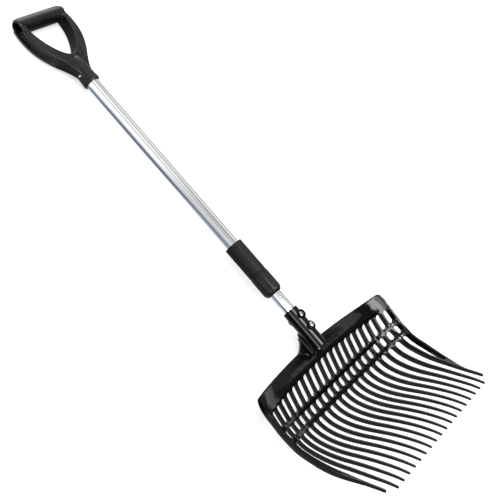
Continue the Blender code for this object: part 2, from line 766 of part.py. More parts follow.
# Outer tube, drilled for the grip screw
tube_profile = ((OUTER_TUBE_TOP_Y, OUTER_TUBE_R - TUBE_WALL), (OUTER_TUBE_END_Y, OUTER_TUBE_R - TUBE_WALL),
                (OUTER_TUBE_END_Y, OUTER_TUBE_R), (OUTER_TUBE_TOP_Y, OUTER_TUBE_R))
outer_tube = make_object("outer_tube", revolve(tube_profile), ALUMINIUM, handle_slide)
SIDEWAYS = Matrix.Rotation(-math.pi / 2, 3, "Z")


def crosswise(stations, segments=20):
    """Lofts a solid of circles along the local X axis."""
    bm = solid_round(stations, segments)
    bmesh.ops.rotate(bm, verts=bm.verts, matrix=SIDEWAYS)
    return bm


drill = make_cutter("grip_tube_drill", crosswise(((0.004, GRIP_SCREW_R + GAP), (0.02, GRIP_SCREW_R + GAP))),
                    handle_slide, (0.0, GRIP_SCREW_Y, 0.0))
add_boolean(outer_tube, "DIFFERENCE", drill)
finish_shape(outer_tube)

# Clamp sleeve on the outer tube, with a stub that the clamp nut turns on
sleeve_profile = ((SLEEVE_TOP_Y, SLEEVE_BORE_R), (SLEEVE_TOP_Y, SLEEVE_R - 0.0018),
                  (SLEEVE_TOP_Y + 0.0006, SLEEVE_R - 0.0007), (SLEEVE_TOP_Y + 0.0020, SLEEVE_R),
                  (SLEEVE_SEAM_Y - 0.0006, SLEEVE_R), (SLEEVE_SEAM_Y, SLEEVE_R - 0.0006),
                  (SLEEVE_SEAM_Y, STUB_R), (STUB_END_Y, STUB_R), (STUB_END_Y, STUB_MOUTH_R),
                  (OUTER_TUBE_END_Y + GAP, STUB_MOUTH_R), (OUTER_TUBE_END_Y + GAP, SLEEVE_BORE_R))
sleeve = make_object("lock_sleeve", revolve(sleeve_profile, 32), SLEEVE_PLASTIC, handle_slide)
shade_round(sleeve)

# Split collet between the stub and the clamp nut
collet_profile = ((COLLET_START_Y, COLLET_BORE_R), (COLLET_START_Y, COLLET_R),
                  (COLLET_END_Y - COLLET_TAPER_L, COLLET_R), (COLLET_END_Y, COLLET_TOE_R),
                  (COLLET_END_Y, COLLET_BORE_R))
collet = make_object("clamp_collet", revolve(collet_profile), NYLON, handle_slide)
slit = bmesh.new()
bmesh.ops.create_cube(slit, size=1.0)
bmesh.ops.scale(slit, verts=slit.verts, vec=(COLLET_SLIT, 0.04, 0.02))
slit_cutter = make_cutter("collet_slit", slit, handle_slide,
                          (0.0, (COLLET_START_Y + COLLET_END_Y) / 2, -COLLET_R))
add_boolean(collet, "DIFFERENCE", slit_cutter)
finish_shape(collet)

# Clamp nut with flutes all round; it turns about the shaft
nut_start = SLEEVE_SEAM_Y + GAP
cone_start = COLLET_END_Y - COLLET_TAPER_L
nut_profile = ((nut_start, NUT_BORE_R), (nut_start, NUT_R - 0.0008), (nut_start + 0.0008, NUT_R),
               (nut_start + 0.0050, NUT_R), (NUT_END_Y - 0.0075, NUT_R), (NUT_END_Y - 0.0040, NUT_R - 0.0006),
               (NUT_END_Y - 0.0012, NUT_R - 0.0022), (NUT_END_Y, NUT_R - 0.0042), (NUT_END_Y, NUT_MOUTH_R),
               (COLLET_END_Y + 0.0008, NUT_MOUTH_R), (COLLET_END_Y + 0.0004, COLLET_TOE_R + 0.0004),
               (cone_start, COLLET_R + CONE_GAP), (STUB_END_Y + 0.0004, COLLET_R + CONE_GAP),
               (STUB_END_Y + 0.0004, NUT_BORE_R))
FLUTED = (3, 4)


def flute_radius(place, r, index):
    if place in FLUTED and index % 2 == 0:
        return r - NUT_FLUTE_DEPTH
    return r


clamp_nut = make_object("lock_nut", revolve(nut_profile, NUT_FLUTES * 2, flute_radius), NUT_PLASTIC, handle_slide)
shade_round(clamp_nut, 24.0)


# Grip: two limbs, a bar across and a neck over the tube, as one moulding
def limb_plate():
    """Builds the plan shape of both limbs as an upright plate."""
    outer = []
    inner = []
    outer_steps = 13
    inner_steps = 13
    for index in range(outer_steps + 1):
        y = LIMB_OUTER[0][0] + (LIMB_OUTER[-1][0] - LIMB_OUTER[0][0]) * index / outer_steps
        outer.append((through(LIMB_OUTER, y), y))
    for index in range(inner_steps):
        share = 1.0 - (1.0 - index / inner_steps) ** 1.8
        y = LIMB_INNER[0][0] + (LIMB_INNER[-1][0] - LIMB_INNER[0][0]) * share
        inner.append((through(LIMB_INNER, y), y))
    right = outer
    left = [(-x, y) for x, y in reversed(outer)]
    arch = [(-x, y) for x, y in inner] + [(LIMB_INNER[-1][1], LIMB_INNER[-1][0])]
    arch += [(x, y) for x, y in reversed(inner)]
    outline = right + left + arch
    bm = bmesh.new()
    floor_ring = [bm.verts.new((x, y, -LIMB_T / 2)) for x, y in outline]
    roof_ring = [bm.verts.new((x, y, LIMB_T / 2)) for x, y in outline]
    count = len(outline)
    for index in range(count):
        after = (index + 1) % count
        bm.faces.new((floor_ring[index], floor_ring[after], roof_ring[after], roof_ring[index]))
    bm.faces.new(list(reversed(floor_ring)))
    bm.faces.new(roof_ring)
    bmesh.ops.recalc_face_normals(bm, faces=bm.faces)
    rims = [edge for edge in bm.edges if abs(edge.verts[0].co.z - edge.verts[1].co.z) < 1e-6]
    bmesh.ops.bevel(bm, geom=rims, offset=LIMB_EDGE_R, segments=2, profile=0.5, affect="EDGES", clamp_overlap=True)
    return bm


grip = make_object("d_grip", limb_plate(), GRIP_PLASTIC, handle_slide)


def bar_ring(x, radius, rise):
    """Gives one ring of the bar; towards its ends the underside draws up."""
    turns = [2 * math.pi * i / BAR_SEGMENTS for i in range(BAR_SEGMENTS)]
    return [(x, radius * math.sin(turn), rise + radius * math.cos(turn)) for turn in turns]


BAR_STATIONS = ((GRIP_HALF_W, BAR_END_R, BAR_END_RISE), (GRIP_HALF_W - 0.0020, BAR_END_R + 0.0020, 0.0033),
                (GRIP_HALF_W - 0.0060, BAR_R - 0.0012, 0.0012), (GRIP_HALF_W - 0.0110, BAR_R, 0.0))
bar_rings = [bar_ring(-x, r, rise) for x, r, rise in BAR_STATIONS]
bar_rings += [bar_ring(x, r, rise) for x, r, rise in reversed(BAR_STATIONS)]
bar_body = make_cutter("grip_bar", loft(bar_rings), handle_slide, (0.0, GRIP_BAR_Y, 0.0))
add_boolean(grip, "UNION", bar_body)
neck_body = make_cutter("grip_neck", solid_round(((NECK_START_Y - 0.016, 0.0110), (NECK_START_Y - 0.009, 0.0138),
                                                  (NECK_START_Y, NECK_R - 0.0002), (GRIP_LIP_Y - 0.024, NECK_R),
                                                  (GRIP_LIP_Y - 0.008, NECK_LIP_R - 0.0006),
                                                  (GRIP_LIP_Y - 0.0012, NECK_LIP_R),
                                                  (GRIP_LIP_Y, NECK_LIP_R - 0.0010))), handle_slide)
add_boolean(grip, "UNION", neck_body)
neck_bore = make_cutter("grip_neck_bore", solid_round(((OUTER_TUBE_TOP_Y - GAP, NECK_BORE_R),
                                                       (GRIP_LIP_Y + 0.004, NECK_BORE_R))), handle_slide)
add_boolean(grip, "DIFFERENCE", neck_bore)


def groove(side):
    """Builds the channel that runs down the outer side of one limb."""
    rows = []
    steps = 16
    start = GRIP_BAR_Y + 0.004
    end = -0.700
    for index in range(steps + 1):
        y = start + (end - start) * index / steps
        edge = through(LIMB_OUTER, y)
        floor_x = edge - GROOVE_DEPTH * (1.0 if index < steps - 2 else (0.75, 0.4, -0.1)[index - steps + 2])
        half = GROOVE_W / 2
        clear_x = edge + GROOVE_OVERSHOOT
        rows.append([(side * x, y, z) for x, z in ((floor_x, -half + 0.001), (clear_x, -half),
                                                   (clear_x, half), (floor_x, half - 0.001))])
    return loft(rows)


for side, label in ((1, "right"), (-1, "left")):
    add_boolean(grip, "DIFFERENCE", make_cutter("groove_" + label, groove(side), handle_slide))
    hollow = make_cutter("bar_bore_" + label,
                         crosswise(((0.0, BAR_BORE_R - 0.0006), (BAR_BORE_L, BAR_BORE_R))), handle_slide,
                         (side * (GRIP_HALF_W - BAR_BORE_L + 0.004), GRIP_BAR_Y, BAR_BORE_Z),
                         (0.0, 0.0, math.pi * (1 - side) / 2))
    add_boolean(grip, "DIFFERENCE", hollow)

SCREW_SEAT_X = NECK_R - GRIP_SCREW_SINK
screw_hole = make_cutter("screw_hole", crosswise(((0.005, GRIP_SCREW_R + GAP), (SCREW_SEAT_X, GRIP_SCREW_R + GAP),
                                                  (SCREW_SEAT_X, GRIP_SCREW_SEAT_R), (0.03, GRIP_SCREW_SEAT_R))),
                         handle_slide, (0.0, GRIP_SCREW_Y, 0.0))
add_boolean(grip, "DIFFERENCE", screw_hole)
finish_shape(grip, 30.0)

screw_in = OUTER_TUBE_R - TUBE_WALL - 0.0015
screw_stations = ((screw_in, GRIP_SCREW_R - 0.0005), (screw_in + 0.0006, GRIP_SCREW_R),
                  (SCREW_SEAT_X + GAP, GRIP_SCREW_R), (SCREW_SEAT_X + GAP, GRIP_SCREW_HEAD_R),
                  (SCREW_SEAT_X + GAP + GRIP_SCREW_HEAD_H * 0.5, GRIP_SCREW_HEAD_R),
                  (SCREW_SEAT_X + GAP + GRIP_SCREW_HEAD_H, GRIP_SCREW_HEAD_R * 0.62))
grip_screw = make_object("grip_screw", crosswise(screw_stations), ZINC, handle_slide, (0.0, GRIP_SCREW_Y, 0.0))
shade_round(grip_screw)


# Lay the fork on the floor: find the tilt at which head and grip both touch
def world_points(objects):
    bpy.context.view_layer.update()
    return [obj.matrix_world @ vertex.co for obj in objects for vertex in obj.data.vertices]


pieces = [obj for obj in scene.objects if obj.type == "MESH"]
points = world_points(pieces)
head_points = [point for point in points if point.y > SOCKET_END_Y]
grip_points = [point for point in points if point.y < GRIP_LIP_Y]


def lowest(group, angle):
    return min(point.y * math.sin(angle) + point.z * math.cos(angle) for point in group)


low_angle, high_angle = -0.2, 0.2
for _ in range(50):
    tilt = (low_angle + high_angle) / 2
    if lowest(head_points, tilt) < lowest(grip_points, tilt):
        low_angle = tilt
    else:
        high_angle = tilt
turned = [Matrix.Rotation(tilt, 3, "X") @ point for point in points]
low = [min(point[axis] for point in turned) for axis in range(3)]
high = [max(point[axis] for point in turned) for axis in range(3)]
root.rotation_euler = (tilt, 0.0, 0.0)
root.location = (-(low[0] + high[0]) / 2, -(low[1] + high[1]) / 2, -low[2])
bpy.context.view_layer.update()
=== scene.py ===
"""Looks of a basket fork with a telescopic shaft and a D grip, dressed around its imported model.

Every piece is made in metres in the shaft's own frame, where +Y runs from the grip to the tine tips, and is
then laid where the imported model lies.
"""

import json
import logging
import math
from collections.abc import Callable, Sequence
from dataclasses import dataclass, field
from enum import Enum, IntEnum
from typing import Any

import bmesh
import bpy
from mathutils import Matrix, Vector

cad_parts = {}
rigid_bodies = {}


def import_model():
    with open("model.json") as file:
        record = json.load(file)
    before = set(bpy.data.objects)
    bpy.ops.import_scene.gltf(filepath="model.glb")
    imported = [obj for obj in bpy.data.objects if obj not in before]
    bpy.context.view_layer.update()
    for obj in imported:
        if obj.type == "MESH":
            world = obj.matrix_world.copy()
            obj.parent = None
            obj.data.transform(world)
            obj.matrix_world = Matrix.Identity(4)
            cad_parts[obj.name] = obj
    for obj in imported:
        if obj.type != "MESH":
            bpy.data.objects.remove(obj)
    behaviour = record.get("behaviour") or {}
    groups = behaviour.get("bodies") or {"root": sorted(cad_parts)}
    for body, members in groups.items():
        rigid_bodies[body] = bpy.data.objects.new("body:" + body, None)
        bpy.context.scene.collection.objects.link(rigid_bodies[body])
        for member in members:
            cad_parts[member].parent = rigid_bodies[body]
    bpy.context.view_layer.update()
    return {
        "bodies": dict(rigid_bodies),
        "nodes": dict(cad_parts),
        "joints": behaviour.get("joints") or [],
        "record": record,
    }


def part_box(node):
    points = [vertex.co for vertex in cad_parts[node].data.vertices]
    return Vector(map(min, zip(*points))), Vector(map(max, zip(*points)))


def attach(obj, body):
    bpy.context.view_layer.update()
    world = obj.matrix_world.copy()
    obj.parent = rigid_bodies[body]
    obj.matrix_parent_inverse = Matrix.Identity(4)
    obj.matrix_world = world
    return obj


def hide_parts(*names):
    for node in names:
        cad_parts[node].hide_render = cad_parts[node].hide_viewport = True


LOG = logging.getLogger("fork")

SHAFT_Z = 0.0166
GAP = 0.0003
INNER_TUBE_R = 0.0112
TUBE_WALL = 0.0010
OUTER_TUBE_R = INNER_TUBE_R + GAP + TUBE_WALL
OUTER_TUBE_SPAN = (-0.694, -0.206)
INNER_TUBE_SPAN = (-0.575, -0.0245)
BOLT_YS = (-0.082, -0.056)
BOLT_R = 0.0030
NUT_ACROSS = 0.0100
POCKET_TOP = SHAFT_Z - INNER_TUBE_R - GAP - 0.0014
GRIP_SCREW_Y = -0.664
SCREW_HOLE_R = 0.0021

Point = tuple[float, float, float]
Station = tuple[float, float]


class Body(Enum):
    """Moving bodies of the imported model."""

    HEAD = "head"
    HANDLE = "handle"
    CLAMP = "clamp"


class Slot(Enum):
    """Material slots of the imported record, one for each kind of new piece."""

    HEAD_PLASTIC = "head_plastic"
    GRIP_PLASTIC = "grip_plastic"
    SLEEVE_PLASTIC = "sleeve_plastic"
    NUT_PLASTIC = "nut_plastic"
    ALUMINIUM = "aluminium"
    ZINC_STEEL = "zinc_steel"


@dataclass(frozen=True)
class LaidFrame:
    """Place of the shaft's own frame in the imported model."""

    tilt: float
    shift: Vector

    @classmethod
    def read(cls, frame: dict[str, Any]) -> "LaidFrame":
        """Finds the frame's place from the slide joint and the outer tube.


        Returns:
            The laid frame.
        """
        slide = next(joint for joint in frame["joints"] if joint["type"] == "slide")
        tilt = math.atan2(-slide["axis"][2], -slide["axis"][1])
        low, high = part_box("outer_tube")
        own = Vector((0.0, sum(OUTER_TUBE_SPAN) / 2, SHAFT_Z))
        return cls(tilt, (low + high) / 2 - Matrix.Rotation(tilt, 3, "X") @ own)

    def matrix(self) -> Matrix:
        """Returns the matrix that lays a point of the shaft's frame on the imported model."""
        return Matrix.Translation(self.shift) @ Matrix.Rotation(self.tilt, 4, "X")

    def place(self, point: Sequence[float]) -> Vector:
        """Returns a point of the shaft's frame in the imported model."""
        return self.matrix() @ Vector(point)

    def turn(self, direction: Sequence[float]) -> Vector:
        """Returns a direction of the shaft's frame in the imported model."""
        return Matrix.Rotation(self.tilt, 3, "X") @ Vector(direction)


def hermite(stations: Sequence[Point], y: float) -> float:
    """Reads a smooth curve given by place, value and slope at each station.

    Args:
        stations: Place, value and slope of each station.
        y: Place to read.

    Returns:
        The value at that place.
    """
    if y <= stations[0][0]:
        return stations[0][1] + stations[0][2] * (y - stations[0][0])
    for (y0, v0, m0), (y1, v1, m1) in zip(stations, stations[1:]):
        if y <= y1:
            h = y1 - y0
            t = (y - y0) / h
            return ((2 * t ** 3 - 3 * t ** 2 + 1) * v0 + (t ** 3 - 2 * t ** 2 + t) * h * m0
                    + (3 * t ** 2 - 2 * t ** 3) * v1 + (t ** 3 - t ** 2) * h * m1)
    return stations[-1][1] + stations[-1][2] * (y - stations[-1][0])


def through(points: Sequence[Station], y: float) -> float:
    """Reads a smooth curve that runs through place and value pairs.

    Args:
        points: Place and value pairs in order.
        y: Place to read, held inside the curve's own span.

    Returns:
        The value at that place.
    """
    stations = []
    for index, (place, value) in enumerate(points):
        before = points[max(index - 1, 0)]
        after = points[min(index + 1, len(points) - 1)]
        stations.append((place, value, (after[1] - before[1]) / (after[0] - before[0])))
    return hermite(stations, min(max(y, points[0][0]), points[-1][0]))


def mix(a: float, b: float, share: float) -> float:
    """Returns the value a share of the way from a to b."""
    return a + (b - a) * share


# Shapes


def ring_points(radius: float, y: float, count: int) -> list[Point]:
    """Returns a ring of points about the Y axis."""
    turns = (2.0 * math.pi * index / count for index in range(count))
    return [(radius * math.sin(turn), y, radius * math.cos(turn)) for turn in turns]


def loft(sections: Sequence[Sequence[Point]], closed: bool = False) -> bmesh.types.BMesh:
    """Joins sections of equal point counts.

    Args:
        sections: Closed sections in order.
        closed: Whether the last section joins the first one, and no cap is needed.

    Returns:
        The shape, with its faces outwards.
    """
    bm = bmesh.new()
    rings = [[bm.verts.new(point) for point in section] for section in sections]
    count = len(rings[0])
    pairs = list(zip(rings, rings[1:]))
    if closed:
        pairs.append((rings[-1], rings[0]))
    for here, there in pairs:
        for index in range(count):
            after = (index + 1) % count
            bm.faces.new((here[index], here[after], there[after], there[index]))
    if not closed:
        bm.faces.new(rings[0])
        bm.faces.new(list(reversed(rings[-1])))
    bmesh.ops.recalc_face_normals(bm, faces=bm.faces)
    return bm


def turned(stations: Sequence[Station], count: int = 96, hollow: bool = False) -> bmesh.types.BMesh:
    """Turns stations of place and radius about the Y axis.

    Args:
        stations: Place and radius of each ring.
        count: Points round each ring.
        hollow: Whether the profile closes on itself round a hole.

    Returns:
        The turned shape.
    """
    return loft([ring_points(radius, y, count) for y, radius in stations], closed=hollow)


def rounded_corner(corner: Station, before: Station, after: Station, radius: float,
                   steps: int = 4) -> list[Station]:
    """Rounds one corner of a profile.

    Args:
        corner: The corner itself.
        before: The point that the profile comes from.
        after: The point that it goes to.
        radius: How far the rounding reaches along both sides.
        steps: Number of facets.

    Returns:
        The points that take the corner's place.
    """
    middle = Vector(corner)
    start = middle + (Vector(before) - middle).normalized() * radius
    end = middle + (Vector(after) - middle).normalized() * radius
    points = []
    for index in range(steps + 1):
        t = index / steps
        points.append(tuple((1 - t) ** 2 * start + 2 * t * (1 - t) * middle + t * t * end))
    return points


def rounded_profile(corners: Sequence[tuple[float, float, float]]) -> list[Station]:
    """Rounds a closed profile.

    Args:
        corners: Place, radius from the axis and rounding of each corner.

    Returns:
        The profile's points.
    """
    points: list[Station] = []
    count = len(corners)
    for index, (y, r, rounding) in enumerate(corners):
        before = corners[index - 1][:2]
        after = corners[(index + 1) % count][:2]
        if rounding <= 0.0:
            points.append((y, r))
        else:
            points += rounded_corner((y, r), before, after, rounding)
    return points


def upright(stations: Sequence[Station], count: int = 40) -> bmesh.types.BMesh:
    """Turns stations of height and radius about the Z axis."""
    shape = turned(stations, count)
    bmesh.ops.rotate(shape, verts=shape.verts, matrix=Matrix.Rotation(math.pi / 2, 3, "X"))
    return shape


def crosswise(stations: Sequence[Station], count: int = 40) -> bmesh.types.BMesh:
    """Turns stations of distance and radius about the X axis."""
    shape = turned(stations, count)
    bmesh.ops.rotate(shape, verts=shape.verts, matrix=Matrix.Rotation(-math.pi / 2, 3, "Z"))
    return shape


def hexagon(across: float, height: float, start: float = 0.0) -> bmesh.types.BMesh:
    """Returns an upright six-sided prism from its size across flats."""
    corner = across / math.sqrt(3.0)
    turns = [math.pi * side / 3 for side in range(6)]
    flat = [(corner * math.cos(turn), corner * math.sin(turn)) for turn in turns]
    return loft([[(x, y, z) for x, y in flat] for z in (start, start + height)])


def moved(shape: bmesh.types.BMesh, offset: Sequence[float]) -> bmesh.types.BMesh:
    """Returns the shape after moving it by an offset."""
    bmesh.ops.translate(shape, verts=shape.verts, vec=offset)
    return shape


def gathered(shapes: Sequence[bmesh.types.BMesh]) -> bmesh.types.BMesh:
    """Returns several shapes in one mesh, unjoined."""
    whole = bmesh.new()
    for shape in shapes:
        part = bpy.data.meshes.new("part")
        shape.to_mesh(part)
        shape.free()
        whole.from_mesh(part)
        bpy.data.meshes.remove(part)
    return whole


class Join(Enum):
    """Ways in which one solid meets another."""

    ADD = "UNION"
    CUT = "DIFFERENCE"


class Workbench:
    """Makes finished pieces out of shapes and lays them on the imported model."""

    weld = 0.00001

    def __init__(self, laid: LaidFrame) -> None:
        """Keeps the place of the shaft's frame."""
        self.laid = laid

    def rough(self, name: str, shape: bmesh.types.BMesh) -> bpy.types.Object:
        """Returns a new object that holds a shape in the shaft's frame."""
        mesh = bpy.data.meshes.new(name)
        shape.to_mesh(mesh)
        shape.free()
        piece = bpy.data.objects.new(name, mesh)
        bpy.context.scene.collection.objects.link(piece)
        return piece

    def settle(self, piece: bpy.types.Object) -> None:
        """Turns a piece's modifiers into its plain mesh."""
        bpy.context.view_layer.update()
        graph = bpy.context.evaluated_depsgraph_get()
        built = bpy.data.meshes.new_from_object(piece.evaluated_get(graph))
        piece.modifiers.clear()
        old = piece.data
        piece.data = built
        bpy.data.meshes.remove(old)

    def combine(self, piece: bpy.types.Object, steps: Sequence[tuple[Join, bmesh.types.BMesh]]) -> None:
        """Adds solids to a piece and cuts solids out of it, in order.

        Args:
            piece: The piece that changes.
            steps: How each solid meets the piece, and the solid.
        """
        tools = []
        for join, shape in steps:
            tool = self.rough(piece.name + "_tool", shape)
            step = piece.modifiers.new(join.name, "BOOLEAN")
            step.operation = join.value
            step.solver = "EXACT"
            step.object = tool
            tools.append(tool)
        self.settle(piece)
        for tool in tools:
            bpy.data.objects.remove(tool, do_unlink=True)

    def soften(self, piece: bpy.types.Object, voxel: float, passes: int) -> None:
        """Melts a piece's inner and outer corners, as in a moulding.

        Args:
            piece: The piece that changes.
            voxel: Size of the cells that it is rebuilt from.
            passes: Number of smoothing passes.
        """
        melt = piece.modifiers.new("melt", "REMESH")
        melt.mode = "VOXEL"
        melt.voxel_size = voxel
        melt.use_smooth_shade = True
        ease = piece.modifiers.new("ease", "SMOOTH")
        ease.factor = 0.5
        ease.iterations = passes
        self.settle(piece)

    def finish(self, piece: bpy.types.Object, material: bpy.types.Material, slot: Slot, body: Body,
               replaced: Sequence[str] = (), smooth: float = 32.0) -> bpy.types.Object:
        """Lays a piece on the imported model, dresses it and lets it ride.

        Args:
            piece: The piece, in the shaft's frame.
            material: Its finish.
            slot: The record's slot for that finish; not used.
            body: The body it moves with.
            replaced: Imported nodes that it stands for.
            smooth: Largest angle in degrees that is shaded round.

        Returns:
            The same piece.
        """
        bm = bmesh.new()
        bm.from_mesh(piece.data)
        bmesh.ops.remove_doubles(bm, verts=bm.verts, dist=self.weld)
        bmesh.ops.recalc_face_normals(bm, faces=bm.faces)
        bm.to_mesh(piece.data)
        bm.free()
        piece.data.transform(self.laid.matrix())
        piece.data.shade_smooth()
        piece.data.set_sharp_from_angle(angle=math.radians(smooth))
        piece.data.materials.clear()
        piece.data.materials.append(material)
        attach(piece, body.value)
        if replaced:
            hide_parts(*replaced)
        LOG.info("%s: %d faces, rides on %s", piece.name, len(piece.data.polygons), body.value)
        return piece


# Node trees


class Num:
    """A number field of a tree, open to plain sums."""

    def __init__(self, tree: "Wiring", socket: bpy.types.NodeSocket) -> None:
        """Keeps the tree and the socket that gives the number."""
        self.tree = tree
        self.socket = socket

    def __add__(self, other: "Num | float") -> "Num":
        """Returns the sum."""
        return self.tree.sum("ADD", self, other)

    def __sub__(self, other: "Num | float") -> "Num":
        """Returns the difference."""
        return self.tree.sum("SUBTRACT", self, other)

    def __mul__(self, other: "Num | float") -> "Num":
        """Returns the product."""
        return self.tree.sum("MULTIPLY", self, other)

    def __truediv__(self, other: "Num | float") -> "Num":
        """Returns the quotient."""
        return self.tree.sum("DIVIDE", self, other)

    def __pow__(self, other: "Num | float") -> "Num":
        """Returns the power."""
        return self.tree.sum("POWER", self, other)


class Wiring:
    """Builds a node tree."""

    group: bpy.types.NodeTree

    def node(self, kind: str, inputs: dict[str | int, Any] | None = None, **settings: Any) -> bpy.types.Node:
        """Adds a node.

        Args:
            kind: Its type.
            inputs: Values, fields or sockets for its inputs by name or number.
            settings: Its own settings.

        Returns:
            The node.
        """
        made = self.group.nodes.new(kind)
        for name, value in settings.items():
            setattr(made, name, value)
        for name, value in (inputs or {}).items():
            if isinstance(value, Num):
                value = value.socket
            if isinstance(value, bpy.types.NodeSocket):
                self.group.links.new(value, made.inputs[name])
            else:
                made.inputs[name].default_value = value
        return made

    def sum(self, operation: str, a: "Num | float", b: "Num | float" = 0.0) -> Num:
        """Returns the field that a sum gives."""
        made = self.node("ShaderNodeMath", {0: a, 1: b}, operation=operation)
        return Num(self, made.outputs[0])

    def either(self, test: Num, when_false: Num, when_true: Num) -> Num:
        """Returns one of two fields by a test of 0 or 1."""
        return when_false + (when_true - when_false) * test

    def curve(self, place: Num, read: Callable[[float], float], span: Station, count: int = 40) -> Num:
        """Reads a size from a curve.

        Args:
            place: Where the curve is read.
            read: What gives the curve's value at a place.
            span: First and last place of the curve.
            count: Number of points on it.

        Returns:
            The size at each place.
        """
        values = [read(mix(span[0], span[1], index / count)) for index in range(count + 1)]
        low = min(values)
        reach = max(max(values) - low, 1e-6)
        made = self.node("ShaderNodeFloatCurve", {"Value": (place - span[0]) / (span[1] - span[0])})
        line = made.mapping.curves[0]
        line.points[0].location = (0.0, (values[0] - low) / reach)
        line.points[1].location = (1.0, (values[-1] - low) / reach)
        for index in range(1, count):
            line.points.new(index / count, (values[index] - low) / reach)
        made.mapping.update()
        return Num(self, made.outputs[0]) * reach + low

    def inside(self, value: Num, low: float, high: float, edge: float) -> Num:
        """Returns 1 between two values and 0 outside them, with soft edges."""
        rise = self.node("ShaderNodeMapRange",
                         {"Value": value, "From Min": low - edge, "From Max": low + edge})
        fall = self.node("ShaderNodeMapRange",
                         {"Value": value, "From Min": high - edge, "From Max": high + edge,
                          "To Min": 1.0, "To Max": 0.0})
        return Num(self, rise.outputs[0]) * Num(self, fall.outputs[0])


class FormTree(Wiring):
    """Builds one Geometry Nodes tree with named inputs."""

    def __init__(self, name: str, shaped: bool = True) -> None:
        """Starts the tree.

        Args:
            name: Its name.
            shaped: Whether it takes and gives a shape, as a modifier's tree does.
        """
        self.group = bpy.data.node_groups.new(name, "GeometryNodeTree")
        if shaped:
            self.group.interface.new_socket("Shape", in_out="INPUT", socket_type="NodeSocketGeometry")
            self.group.interface.new_socket("Shape", in_out="OUTPUT", socket_type="NodeSocketGeometry")
        self.start = self.group.nodes.new("NodeGroupInput")
        self.end = self.group.nodes.new("NodeGroupOutput")
        self.sizes: dict[str, Any] = {}

    def size(self, name: str, value: float | int | None = None, kind: str = "NodeSocketFloat") -> Num:
        """Adds a named input.

        Args:
            name: Name of the input.
            value: What the modifier sets it to.
            kind: Kind of socket.

        Returns:
            The input's field.
        """
        socket = self.group.interface.new_socket(name, in_out="INPUT", socket_type=kind)
        if value is not None:
            self.sizes[socket.identifier] = value
        return Num(self, self.start.outputs[name])

    def result(self, name: str, value: Num) -> None:
        """Adds a named number output."""
        self.group.interface.new_socket(name, in_out="OUTPUT", socket_type="NodeSocketFloat")
        self.group.links.new(value.socket, self.end.inputs[name])

    def call(self, group: bpy.types.NodeTree, **inputs: Num) -> Num:
        """Returns the number that another tree gives for named inputs."""
        made = self.node("GeometryNodeGroup", node_tree=group)
        for name, value in inputs.items():
            self.group.links.new(value.socket, made.inputs[name])
        return Num(self, made.outputs[0])

    def close(self, shape: bpy.types.NodeSocket, material: bpy.types.Material) -> None:
        """Ends the tree with real faces and their finish."""
        real = self.node("GeometryNodeRealizeInstances", {"Geometry": shape})
        dressed = self.node("GeometryNodeSetMaterial", {"Geometry": real.outputs[0], "Material": material})
        self.group.links.new(dressed.outputs[0], self.end.inputs["Shape"])

    def grow(self, bench: Workbench, piece: bpy.types.Object) -> None:
        """Runs the tree on a piece and keeps what it makes as a plain mesh."""
        step = piece.modifiers.new(self.group.name, "NODES")
        step.node_group = self.group
        for identifier, value in self.sizes.items():
            step[identifier] = value
        bench.settle(piece)


# Head


